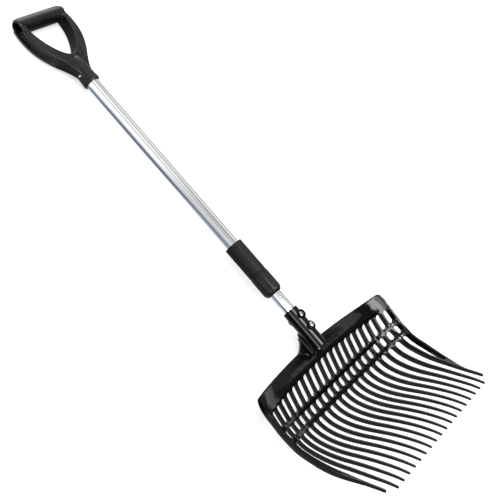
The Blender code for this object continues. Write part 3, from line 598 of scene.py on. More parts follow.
@dataclass(frozen=True)
class BasketRule:
    """Rule of the basket's curved surface."""

    half_span: float = 0.21525
    centre: tuple[Point, ...] = ((0.0, 0.0032, -0.39), (0.058, -0.0148, -0.07), (0.088, -0.0142, 0.27),
                                 (0.098, -0.0104, 0.50), (0.150, 0.0349, 1.16), (0.2265, 0.1042, 0.55))
    side_rise: tuple[Point, ...] = ((0.0, 0.0207, 0.30), (0.095, 0.0405, 0.0), (0.200, 0.0, 0.0),
                                    (0.2265, 0.0, 0.0))
    side_power: float = 3.6
    rear_y: float = -0.0332
    rear_bow: float = 0.0160
    rear_z: float = -0.0012
    rear_rise: float = 0.0325
    rear_power: float = 3.5
    slot_bow: float = 0.0149
    span: Station = (-0.012, 0.234)
    nudge: float = 0.0008
    slope_step: float = 0.0015
    rear_limit: float = -0.2

    def rear(self, x: float) -> float:
        """Returns the place of the rear edge at a distance from the middle."""
        return self.rear_y + self.rear_bow * (x / self.half_span) ** 2

    def slot_start(self, x: float) -> float:
        """Returns where the first slots start at a distance from the middle."""
        return self.slot_bow * (x / self.half_span) ** 2

    def basket_group(self) -> bpy.types.NodeTree:
        """Returns a tree that gives the basket's height from the sides' rise and the place along it."""
        tree = FormTree("basket curve", shaped=False)
        rise = tree.size("rise")
        y = tree.size("y")
        middle = tree.curve(y, lambda place: hermite(self.centre, place), self.span)
        side = tree.curve(y, lambda place: hermite(self.side_rise, place), self.span)
        tree.result("height", middle + side * rise)
        return tree.group

    def height_group(self) -> bpy.types.NodeTree:
        """Returns a tree that gives the height of the whole top side, rear plate included."""
        basket = self.basket_group()
        tree = FormTree("top side", shaped=False)
        x = tree.size("x")
        y = tree.size("y")
        out = tree.sum("ABSOLUTE", x / self.half_span)
        rise = out ** self.side_power
        start = out * out * self.rear_bow + self.rear_y
        join = out * out * self.slot_bow
        low = out ** self.rear_power * self.rear_rise + self.rear_z
        high = tree.call(basket, rise=rise, y=join)
        ahead = tree.call(basket, rise=rise, y=join + self.nudge)
        length = join - start
        slope = (ahead - high) / self.nudge * length
        chord = high - low
        t = tree.sum("MAXIMUM", (y - start) / length, self.rear_limit)
        square = t * t
        cube = square * t
        plate = ((cube * 2.0 - square * 3.0 + 1.0) * low + (cube - square * 2.0 + t) * chord
                 + (square * 3.0 - cube * 2.0) * high + (cube - square) * slope)
        free = tree.call(basket, rise=rise, y=y)
        tree.result("height", tree.either(tree.sum("GREATER_THAN", y, join), plate, free))
        return tree.group

    def form_tree(self, material: bpy.types.Material) -> FormTree:
        """Returns the tree that bends a flat blank onto the basket, each point square to the surface."""
        group = self.height_group()
        tree = FormTree("basket form")
        step = tree.size("slope step", self.slope_step)
        place = tree.node("GeometryNodeInputPosition")
        split = tree.node("ShaderNodeSeparateXYZ", {0: place.outputs[0]})
        x, y, z = (Num(tree, split.outputs[index]) for index in range(3))
        raised = tree.node("GeometryNodeInputNamedAttribute", {"Name": "raised"}, data_type="FLOAT")
        top = tree.call(group, x=x, y=y)
        slope = (tree.call(group, x=x, y=y + step) - tree.call(group, x=x, y=y - step)) / (step * 2.0)
        length = tree.sum("SQRT", slope * slope + 1.0)
        bent_y = y - z * slope / length
        bent_z = top + z / length + Num(tree, raised.outputs[0])
        joined = tree.node("ShaderNodeCombineXYZ", {0: x, 1: bent_y, 2: bent_z})
        bent = tree.node("GeometryNodeSetPosition", {"Geometry": tree.start.outputs["Shape"],
                                                     "Position": joined.outputs[0]})
        tree.close(bent.outputs[0], material)
        return tree


class Key(IntEnum):
    """Key rows of the head's grid, from its rear edge to the tips."""

    REAR = 0
    LIP = 1
    PLATE = 2
    SLOT1_START = 3
    SLOT1_END = 4
    SLOT2_START = 5
    SLOT2_END = 6
    TINE_START = 7
    TIP = 8


@dataclass
class BasketHead:
    """Slotted basket of ribs, crossbars, side rails and tines."""

    rule: BasketRule = field(default_factory=BasketRule)
    pitch: float = 0.0205
    tine_count: int = 20
    rib_top: float = 0.0038
    rib_foot: float = 0.0031
    tip_top: float = 0.0038
    tip_foot: float = 0.0032
    edge_r: float = 0.00055
    foot_r: float = 0.0004
    web: float = 0.0032
    lip: float = 0.0032
    slot_segments: int = 14
    slot_end: float = 0.0052
    slot_power: float = 2.4
    slot1_end: float = 0.0406
    slot2_start: float = 0.0474
    slot2_end: float = 0.0648
    tine_start: float = 0.0724
    tine_tip: float = 0.2265
    side_shorter: float = 0.0105
    tine_rows: int = 30
    tine_spacing: float = 1.15
    row_steps: tuple[int, ...] = (1, 3, 4, 6, 2, 3, 2)
    levels: tuple[Station, ...] = ((0.0, 1.0), (0.3, 0.3), (1.0, 0.0))
    tip_r: float = 0.0019
    tip_least: float = 0.16
    rib_depth: tuple[Station, ...] = ((-0.034, 0.0062), (0.0, 0.0082), (0.115, 0.0084), (0.160, 0.0069),
                                      (0.200, 0.0052), (0.2265, 0.0035))
    rail_side: tuple[Station, ...] = ((-0.018, 0.2090), (-0.003, 0.2118), (0.029, 0.2120), (0.060, 0.2115),
                                      (0.096, 0.2106), (0.120, 0.2098), (0.140, 0.2075), (0.160, 0.2035),
                                      (0.176, 0.1990), (0.188, 0.1968))
    rail_raise: tuple[Station, ...] = ((-0.030, 0.0018), (0.0, 0.0034), (0.030, 0.0050), (0.060, 0.0038),
                                       (0.100, 0.0029), (0.140, 0.0018), (0.186, 0.0))
    outer_depth: float = 0.35
    outer_power: int = 5
    rail_w: float = 0.0038
    rail_end_w: float = 0.0006
    rail_taper_y: float = 0.135
    rail_join_y: float = 0.152
    rail_end_y: float = 0.186
    rail_edge: float = 0.0003
    corner_cut: float = 0.0056
    corner_keep: float = 0.35
    corner_inner: float = 0.65
    smooth: float = 48.0

    def __post_init__(self) -> None:
        """Works out the lines across the head and the rows along it."""
        self.bars = self.tine_count + 2
        self.half = (self.bars - 1) / 2
        self.rows = [key + step / count for key, count in enumerate(self.row_steps) for step in range(count)]
        shares = [step / self.tine_rows for step in range(self.tine_rows)]
        self.rows += [Key.TINE_START + share for share in shares] + [float(Key.TIP)]
        slot_shares = [step / self.slot_segments for step in range(1, self.slot_segments)]
        self.lines: list[tuple[int, float, bool]] = []
        for bar in range(self.bars):
            self.lines += [(bar, 0.0, True), (bar, 1.0, True)]
            if bar < self.bars - 1:
                self.lines += [(bar, share, False) for share in slot_shares]

    def is_rail(self, bar: int) -> bool:
        """Tells whether a bar is one of the side rails."""
        return bar in (0, self.bars - 1)

    def depth(self, y: float, x: float = 0.0) -> float:
        """Returns the ribs' depth, a little more towards the rails."""
        outwards = abs(x / self.rule.half_span) ** self.outer_power
        return through(self.rib_depth, y) * (1.0 + self.outer_depth * outwards)

    def tip(self, bar: int) -> float:
        """Returns where a tine ends."""
        shorter = bar in (0, 1, self.tine_count, self.tine_count + 1)
        return self.tine_tip - (self.side_shorter if shorter else 0.0)

    def key_y(self, key: int, middle: float, u: float, inset: float, bar: int, x: float) -> float:
        """Returns where a key row of the grid runs.

        Args:
            key: The key row.
            middle: Middle of the gap beside the line.
            u: Place across that gap, from -1 to 1.
            inset: How much the rounded edge draws back.
            bar: Bar beside the line.
            x: Distance from the middle of the head.

        Returns:
            The place along the shaft.
        """
        rear = self.rule.rear(x)
        if key == Key.REAR:
            return rear + inset
        if key == Key.LIP:
            return rear + self.lip - inset * 0.5
        if key == Key.PLATE:
            return rear + 0.5 * (self.rule.slot_start(x) - rear)
        if key == Key.TIP:
            return self.tip(bar) - inset
        bulge = (self.slot_end + inset) * max(0.0, 1.0 - abs(u) ** self.slot_power) ** (1.0 / self.slot_power)
        if key == Key.SLOT1_START:
            return self.rule.slot_start(middle) + self.slot_end - bulge
        if key == Key.SLOT1_END:
            return self.slot1_end - self.slot_end + bulge
        if key == Key.SLOT2_START:
            return self.slot2_start + self.slot_end - bulge
        if key == Key.SLOT2_END:
            return self.slot2_end - self.slot_end + bulge
        return self.tine_start + self.slot_end - bulge

    def row_y(self, row: float, middle: float, u: float, inset: float, bar: int, x: float) -> float:
        """Returns where any row runs, between its key rows."""
        key = min(int(row), int(Key.TINE_START))
        share = row - key
        start = self.key_y(key, middle, u, inset, bar, x)
        if share == 0.0:
            return start
        if key == Key.TINE_START:
            share = 1.0 - (1.0 - share) ** self.tine_spacing
            start = self.tine_start + self.slot_end
        return mix(start, self.key_y(key + 1, middle, u, inset, bar, x), share)

    def sides(self, bar: int, row: float, y: float, sunk: float, inset: float) -> Station:
        """Returns both sides of a bar.

        Args:
            bar: Number of the bar across the head.
            row: Row along the head.
            y: Place along the shaft.
            sunk: Share of the depth, from the top to the foot.
            inset: How much the rounded edge draws in.

        Returns:
            Left and right side.
        """
        share = max(0.0, min(1.0, row - Key.TINE_START))
        width = mix(mix(self.rib_top, self.tip_top, share), mix(self.rib_foot, self.tip_foot, share), sunk)
        near = (y - (self.tip(bar) - self.tip_r)) / self.tip_r
        if near > 0.0:
            width *= math.sqrt(max(self.tip_least, 1.0 - min(near, 1.0) ** 2))
        if not self.is_rail(bar):
            middle = (bar - self.half) * self.pitch
            return middle - width / 2 + inset, middle + width / 2 - inset
        taper = (y - self.rail_taper_y) / (self.rail_end_y - self.rail_taper_y)
        outer = through(self.rail_side, y)
        wide = mix(self.rail_w, self.rail_end_w, min(max(taper, 0.0), 1.0))
        inner = outer - wide + min(inset, self.rail_edge)
        if row < Key.LIP:
            cut = self.corner_cut * mix(1.0, self.corner_keep, row)
        else:
            cut = self.corner_cut * max(0.0, self.corner_keep * (Key.PLATE - row))
        outer -= cut + inset
        inner -= cut * self.corner_inner
        return (-outer, -inner) if bar == 0 else (inner, outer)

    def place(self, line: int, row: float, sunk: float, inset: float) -> Station:
        """Returns where a line crosses a row, at a level.

        Args:
            line: Number of the line across the head.
            row: Row along the head.
            sunk: Share of the depth.
            inset: How much the rounded edge draws in.

        Returns:
            Distance from the middle and place along the shaft.
        """
        bar, share, side = self.lines[line]
        if side:
            beside = bar + 0.5 if share else bar - 0.5
            beside = min(max(beside, 0.5), self.bars - 1.5)
            middle = (beside - self.half) * self.pitch
            guess = (bar - self.half) * self.pitch
            y = self.row_y(row, middle, 1.0, inset, bar, guess)
            x = self.sides(bar, row, y, sunk, inset)[int(share)]
            return x, self.row_y(row, middle, 1.0, inset, bar, x)
        middle = (bar + 0.5 - self.half) * self.pitch
        u = -math.cos(math.pi * share)
        y = self.row_y(row, middle, 1.0, inset, max(bar, 1), middle)
        left = self.sides(bar, row, y, sunk, inset)[1]
        right = self.sides(bar + 1, row, y, sunk, inset)[0]
        x = (left + right) / 2 + (right - left) / 2 * u
        return x, self.row_y(row, middle, u, inset, max(bar, 1), x)

    def raised(self, line: int, y: float) -> float:
        """Returns how far a line stands above the basket's surface near the rails."""
        bar, share, side = self.lines[line]
        full = through(self.rail_raise, y)
        if side:
            return full if self.is_rail(bar) else 0.0
        if bar == 0:
            return full * (1.0 - share) ** 2
        if bar == self.bars - 2:
            return full * share ** 2
        return 0.0

    def filled(self, cell: int, index: int, layer: int, layers: int) -> bool:
        """Tells whether the space between two lines, two rows and two levels is plastic."""
        if not (0 <= cell < len(self.lines) - 1 and 0 <= index < len(self.rows) - 1 and 0 <= layer < layers):
            return False
        row = self.rows[index]
        bar, share, side = self.lines[cell]
        y = self.row_y(self.rows[index + 1], 0.0, 1.0, 0.0, 0, 0.0)
        if side and share == 0.0:
            return not self.is_rail(bar) or row < Key.TINE_START or y <= self.rail_end_y
        if int(row) in (Key.REAR, Key.SLOT1_END, Key.SLOT2_END):
            return True
        if row < Key.SLOT1_START:
            return layer < len(self.levels)
        near_rail = bar in (0, self.bars - 2)
        start = self.row_y(row, 0.0, 1.0, 0.0, 0, 0.0)
        return near_rail and row >= Key.TINE_START and self.rail_join_y <= start and y <= self.rail_end_y

    def blank(self) -> bmesh.types.BMesh:
        """Returns the flat blank, with its depth below the plan and the rails' height as a value."""
        bm = bmesh.new()
        lift = bm.verts.layers.float.new("raised")
        made: dict[tuple[int, int, int], bmesh.types.BMVert] = {}
        top_levels = len(self.levels)
        layers = top_levels + 2
        around = ((0, 0), (1, 0), (1, 1), (0, 1))

        def corner(line: int, index: int, level: int) -> bmesh.types.BMVert:
            """Returns the vertex of a line, a row and a level."""
            key = (line, index, level)
            if key in made:
                return made[key]
            row = self.rows[index]
            x, y = self.place(line, row, 0.0, 0.0)
            full = self.depth(y, x)
            if level < top_levels:
                down, inset = (share * self.edge_r for share in self.levels[level])
            elif level == top_levels:
                down, inset = min(self.web, full - self.foot_r), 0.0
            elif level == top_levels + 1:
                down, inset = full - self.foot_r, 0.0
            else:
                down, inset = full, self.foot_r
            x, y = self.place(line, row, down / full, inset)
            vertex = bm.verts.new((x, y, -down))
            vertex[lift] = self.raised(line, y)
            made[key] = vertex
            return vertex

        def face(*corners: bmesh.types.BMVert) -> None:
            """Adds a face."""
            bm.faces.new(corners)

        for cell in range(len(self.lines) - 1):
            for index in range(len(self.rows) - 1):
                for layer in range(layers):
                    if not self.filled(cell, index, layer, layers):
                        continue
                    a, b, c, d = (corner(cell + p, index + q, layer) for p, q in around)
                    e, f, g, h = (corner(cell + p, index + q, layer + 1) for p, q in around)
                    if not self.filled(cell, index, layer - 1, layers):
                        face(a, b, c, d)
                    if not self.filled(cell, index, layer + 1, layers):
                        face(h, g, f, e)
                    if not self.filled(cell - 1, index, layer, layers):
                        face(a, d, h, e)
                    if not self.filled(cell + 1, index, layer, layers):
                        face(b, f, g, c)
                    if not self.filled(cell, index - 1, layer, layers):
                        face(a, e, f, b)
                    if not self.filled(cell, index + 1, layer, layers):
                        face(d, c, g, h)
        return bm

    def build(self, bench: Workbench, plastic: bpy.types.Material) -> bpy.types.Object:
        """Bends the blank by the basket's rule and finishes it."""
        piece = bench.rough("basket_head", self.blank())
        self.rule.form_tree(plastic).grow(bench, piece)
        return bench.finish(piece, plastic, Slot.HEAD_PLASTIC, Body.HEAD, ("fork_head",), self.smooth)


@dataclass
class Socket:
    """Tube socket on the head: barrel, saddle, flat pad and two bolt bosses."""

    end_y: float = -0.100
    front_y: float = -0.0175
    radius: float = 0.0149
    end_edge: Station = (0.0010, 0.0008)
    front_edge: float = 0.0003
    bore_over: Station = (0.005, 0.004)
    ledge_x: float = 0.0121
    ledge: float = 0.0004
    bead: float = 0.0003
    bead_angle: float = 2.2
    bead_edge: float = 0.6
    shell_steps: int = 14
    round_steps: int = 48
    saddle_start: float = -0.052
    saddle_end: float = -0.0078
    saddle_base: float = -0.0022
    saddle_top: float = SHAFT_Z - 0.001
    slope_start: float = 0.0008
    slope_knee: Station = (0.0022, 0.0110)
    nose_h: float = 0.0014
    wall_x: float = 0.0122
    shoulder: Station = (0.0035, 0.0040)
    shoulder_least: float = 0.0001
    foot_x: float = 0.0137
    foot_z: float = 0.0027
    foot_rise: float = 0.0011
    pad_top: float = 0.0027
    pad: tuple[Station, ...] = ((-0.0600, 0.0050), (-0.0517, 0.0104), (-0.0460, 0.0160), (-0.0408, 0.0226),
                                (-0.0358, 0.0309), (-0.0325, 0.0378), (-0.0300, 0.0360), (-0.0245, 0.0272),
                                (-0.0151, 0.0218), (-0.0075, 0.0138))
    pad_rise: float = 0.0030
    pad_edge: float = 0.0010
    pad_steps: int = 36
    boss_r: float = 0.0083
    boss_top: float = 0.0356
    boss_feet: tuple[float, float] = (0.0012, 0.0050)
    boss_foot_edge: Station = (0.0010, 0.0012)
    boss_edge: float = 0.0006
    boss_edge_middle: float = 0.0002
    recesses: tuple[float, float] = (0.0040, 0.0012)
    recess_r: float = 0.0060
    hole_over: float = 0.002
    pocket_over: float = 0.006
    smooth: float = 30.0

    def barrel_section(self, y: float, shrink: float) -> list[Point]:
        """Returns the barrel's outline: a raised shell with a beaded rim above a slightly smaller round.

        Args:
            y: Place along the shaft.
            shrink: How much smaller the outline is than the barrel itself.

        Returns:
            The outline's points.
        """
        limit = math.degrees(math.asin(self.ledge_x / self.radius))
        small = self.radius - self.ledge
        inner = limit - self.bead_angle
        shell = [(limit, self.radius + self.bead), (limit - self.bead_edge, self.radius + self.bead),
                 (inner, self.radius)]
        shell += [(mix(inner, 0.0, (step + 1) / self.shell_steps), self.radius)
                  for step in range(self.shell_steps)]
        rim = [(-angle, radius) for angle, radius in shell] + list(reversed(shell))[1:]
        rim += [(mix(limit, 360.0 - limit, step / self.round_steps), small)
                for step in range(self.round_steps + 1)]
        return [((radius - shrink) * math.sin(math.radians(angle)), y,
                 SHAFT_Z + (radius - shrink) * math.cos(math.radians(angle))) for angle, radius in rim]

    def saddle_section(self, y: float, top: float) -> list[Point]:
        """Returns the saddle's outline: upright walls with a chamfered foot."""
        shoulder_x, shoulder_z = self.shoulder
        right = [(self.wall_x - shoulder_x, top),
                 (self.wall_x, min(self.foot_z + shoulder_z, top - self.shoulder_least)),
                 (self.wall_x, self.foot_z + self.foot_rise), (self.foot_x, self.foot_z),
                 (self.foot_x, self.saddle_base)]
        return [(x, y, z) for x, z in right] + [(-x, y, z) for x, z in reversed(right)]

    def shape_saddle(self) -> bmesh.types.BMesh:
        """Returns the saddle, which slopes down in front of the barrel."""
        knee_y, knee_z = self.slope_knee
        rows = ((self.saddle_start, self.saddle_top), (self.front_y + self.slope_start, self.saddle_top),
                (self.front_y + knee_y, knee_z), (self.saddle_end, self.foot_z + self.nose_h))
        return loft([self.saddle_section(y, top) for y, top in rows])

    def shape_pad(self) -> bmesh.types.BMesh:
        """Returns the flat pad under the saddle, which flares onto the plate."""
        sections = []
        r = self.pad_edge
        for step in range(self.pad_steps + 1):
            y = mix(self.pad[0][0], self.pad[-1][0], step / self.pad_steps)
            w = through(self.pad, y)
            share = min(max((self.saddle_start - y) / (self.saddle_start - self.pad[0][0]), 0.0), 1.0)
            high = self.pad_top + self.pad_rise * share
            sections.append([(-w, y, self.saddle_base), (w, y, self.saddle_base), (w, y, high - r),
                             (w - 0.3 * r, y, high - 0.3 * r), (w - r, y, high), (-w + r, y, high),
                             (-w + 0.3 * r, y, high - 0.3 * r), (-w, y, high - r)])
        return loft(sections)

    def at_bolts(self, make: Callable[[int], bmesh.types.BMesh]) -> bmesh.types.BMesh:
        """Returns one shape at each bolt."""
        return gathered([moved(make(index), (0.0, y, 0.0)) for index, y in enumerate(BOLT_YS)])

    def boss(self, index: int) -> bmesh.types.BMesh:
        """Returns one bolt's boss."""
        foot = self.boss_feet[index]
        foot_rise, foot_in = self.boss_foot_edge
        middle = self.boss_edge_middle
        return upright(((foot, self.boss_r - foot_in), (foot + foot_rise, self.boss_r),
                        (self.boss_top - self.boss_edge, self.boss_r),
                        (self.boss_top - middle, self.boss_r - middle),
                        (self.boss_top, self.boss_r - self.boss_edge)), 56)

    def hole(self, index: int) -> bmesh.types.BMesh:
        """Returns one bolt's stepped hole."""
        seat = self.boss_top - self.recesses[index]
        return upright(((POCKET_TOP - self.hole_over, BOLT_R + GAP), (seat, BOLT_R + GAP),
                        (seat, self.recess_r), (self.boss_top + self.hole_over, self.recess_r)), 40)

    def pocket(self) -> bmesh.types.BMesh:
        """Returns one nut's pocket."""
        bottom = self.saddle_base - self.pocket_over
        return hexagon(NUT_ACROSS + 2 * GAP, POCKET_TOP - bottom, bottom)

    def build(self, bench: Workbench, plastic: bpy.types.Material) -> bpy.types.Object:
        """Joins the socket's parts, drills them and finishes the piece."""
        end_over, front_over = self.bore_over
        bore = turned(((self.end_y - end_over, INNER_TUBE_R + GAP),
                       (self.front_y + front_over, INNER_TUBE_R + GAP)), 72)
        piece = bench.rough("head_socket", self.shape_saddle())
        end_run, end_in = self.end_edge
        barrel = loft([self.barrel_section(self.end_y, end_in),
                       self.barrel_section(self.end_y + end_run, 0.0),
                       self.barrel_section(self.front_y - self.front_edge, 0.0),
                       self.barrel_section(self.front_y, self.front_edge)])
        bench.combine(piece, (
            (Join.ADD, barrel),
            (Join.ADD, self.shape_pad()),
            (Join.ADD, self.at_bolts(self.boss)),
            (Join.CUT, moved(bore, (0.0, 0.0, SHAFT_Z))),
            (Join.CUT, self.at_bolts(self.hole)),
            (Join.CUT, self.at_bolts(lambda index: self.pocket())),
        ))
        return bench.finish(piece, plastic, Slot.HEAD_PLASTIC, Body.HEAD, (), self.smooth)


def row_tree(name: str, count: int, step: float, rise: float, material: bpy.types.Material) -> FormTree:
    """Returns a tree that repeats a shape in a row along the shaft.

    Args:
        name: Name of the tree.
        count: Number of copies.
        step: Distance from one to the next.
        rise: How much higher each one is.
        material: Their finish.

    Returns:
        The tree.
    """
    tree = FormTree(name)
    copies = tree.size("copies", count, "NodeSocketInt")
    apart = tree.size("distance apart", step)
    climb = tree.size("rise", rise)
    along = tree.node("ShaderNodeCombineXYZ", {1: apart, 2: climb})
    row = tree.node("GeometryNodeMeshLine", {"Count": copies, "Offset": along.outputs[0]})
    placed = tree.node("GeometryNodeInstanceOnPoints",
                       {"Points": row.outputs[0], "Instance": tree.start.outputs["Shape"]})
    tree.close(placed.outputs[0], material)
    return tree


@dataclass
class SocketBolts:
    """Two button-head bolts through the socket and their nuts."""

    head_r: float = 0.0052
    head_h: float = 0.0030
    head_edge: float = 0.0001
    dome_drop: float = 0.0022
    dome_flat: float = 0.38
    shank_edge: Station = (0.0006, 0.0005)
    key_across: float = 0.0032
    key_depth: float = 0.0018
    key_over: float = 0.003
    nut_h: float = 0.0032
    nut_top: float = POCKET_TOP - GAP
    trim_out: float = 0.0002
    trim_in: float = 0.0005
    trim_cut: float = 0.0007
    ring_over: Station = (0.001, 0.002)
    hole_over: float = 0.002
    seats: tuple[float, float] = (0.0316, 0.0344)

    def shape_bolt(self) -> bmesh.types.BMesh:
        """Returns one bolt, with its domed head above the seat."""
        shank_end = self.nut_top - self.nut_h - self.seats[0]
        edge_run, edge_in = self.shank_edge
        stations = [(shank_end, BOLT_R - edge_in), (shank_end + edge_run, BOLT_R), (GAP, BOLT_R),
                    (GAP, self.head_r - self.head_edge), (GAP + self.head_edge, self.head_r)]
        for share in (1.0, 0.85, 0.7, 0.55, 0.4, 0.25, 0.1, 0.0):
            out = self.dome_flat + (1.0 - self.dome_flat) * math.sin(share * math.pi / 2)
            stations.append((GAP + self.head_h - self.dome_drop * share ** 2, self.head_r * out))
        return upright(stations, 48)

    def nut_cutter(self, bench: Workbench) -> bmesh.types.BMesh:
        """Returns the solid that eases a nut's corners."""
        corner = NUT_ACROSS / math.sqrt(3.0)
        over, wide = self.ring_over
        trim = upright(((-self.trim_out, corner - self.trim_cut), (self.trim_in, corner),
                        (self.nut_h - self.trim_in, corner),
                        (self.nut_h + self.trim_out, corner - self.trim_cut)), 48)
        ring = upright(((-over, corner + wide), (self.nut_h + over, corner + wide)), 48)
        shell = bench.rough("nut_trim", ring)
        bench.combine(shell, ((Join.CUT, trim),))
        cutter = bmesh.new()
        cutter.from_mesh(shell.data)
        bpy.data.objects.remove(shell, do_unlink=True)
        return cutter

    def build(self, bench: Workbench, zinc: bpy.types.Material) -> list[bpy.types.Object]:
        """Makes one bolt and one nut and repeats both along the socket."""
        step = BOLT_YS[1] - BOLT_YS[0]
        bolt = bench.rough("socket_bolts", self.shape_bolt())
        key = hexagon(self.key_across, self.key_over, GAP + self.head_h - self.key_depth)
        bench.combine(bolt, ((Join.CUT, key),))
        bolt.data.transform(Matrix.Translation((0.0, BOLT_YS[0], self.seats[0])))
        row_tree("bolt row", len(BOLT_YS), step, self.seats[1] - self.seats[0], zinc).grow(bench, bolt)
        nut = bench.rough("socket_nuts", hexagon(NUT_ACROSS, self.nut_h))
        hole = upright(((-self.hole_over, BOLT_R + GAP), (self.nut_h + self.hole_over, BOLT_R + GAP)), 40)
        bench.combine(nut, ((Join.CUT, self.nut_cutter(bench)), (Join.CUT, hole)))
        nut.data.transform(Matrix.Translation((0.0, BOLT_YS[0], self.nut_top - self.nut_h)))
        row_tree("nut row", len(BOLT_YS), step, 0.0, zinc).grow(bench, nut)
        bolts = bench.finish(bolt, zinc, Slot.ZINC_STEEL, Body.HEAD, ("bolt_rear", "bolt_front"))
        nuts = bench.finish(nut, zinc, Slot.ZINC_STEEL, Body.HEAD, ("nut_rear", "nut_front"))
        return [bolts, nuts]


# Shaft


@dataclass
class Tubes:
    """Drawn outer and inner tubes of the telescopic shaft."""

    outer_r: float = OUTER_TUBE_R
    inner_r: float = INNER_TUBE_R
    wall: float = TUBE_WALL
    edge: float = 0.0003
    end_ring: float = 0.0020
    bolt_drill_r: float = BOLT_R + GAP
    bolt_drill: Station = (-0.006, 0.042)
    screw_drill: Station = (0.004, 0.02)
    smooth: float = 40.0

    def tube(self, bench: Workbench, name: str, radius: float, span: Station,
             drills: Sequence[bmesh.types.BMesh]) -> bpy.types.Object:
        """Makes one tube with eased ends.

        Args:
            bench: Where it is made.
            name: Name of the piece.
            radius: Outer radius.
            span: Both ends along the shaft.
            drills: Solids drilled out of it.

        Returns:
            The tube, in the shaft's frame.
        """
        bore = radius - self.wall
        near, far = span[0] + self.end_ring, span[1] - self.end_ring
        profile = rounded_profile((
            (span[0], bore, 0.0), (near, bore, 0.0), (far, bore, 0.0), (span[1], bore, 0.0),
            (span[1], radius, self.edge), (far, radius, 0.0), (near, radius, 0.0),
            (span[0], radius, self.edge)))
        tube = bench.rough(name, moved(turned(profile, 96, hollow=True), (0.0, 0.0, SHAFT_Z)))
        if drills:
            bench.combine(tube, [(Join.CUT, drill) for drill in drills])
        return tube

    def build(self, bench: Workbench, aluminium: bpy.types.Material) -> list[bpy.types.Object]:
        """Makes and finishes both tubes."""
        across = [moved(upright([(z, self.bolt_drill_r) for z in self.bolt_drill]), (0.0, y, 0.0))
                  for y in BOLT_YS]
        inner = self.tube(bench, "inner_shaft", self.inner_r, INNER_TUBE_SPAN, across)
        side = moved(crosswise([(x, SCREW_HOLE_R) for x in self.screw_drill]), (0.0, GRIP_SCREW_Y, SHAFT_Z))
        outer = self.tube(bench, "outer_shaft", self.outer_r, OUTER_TUBE_SPAN, (side,))
        return [bench.finish(inner, aluminium, Slot.ALUMINIUM, Body.HEAD, ("inner_tube",), self.smooth),
                bench.finish(outer, aluminium, Slot.ALUMINIUM, Body.HANDLE, ("outer_tube",), self.smooth)]


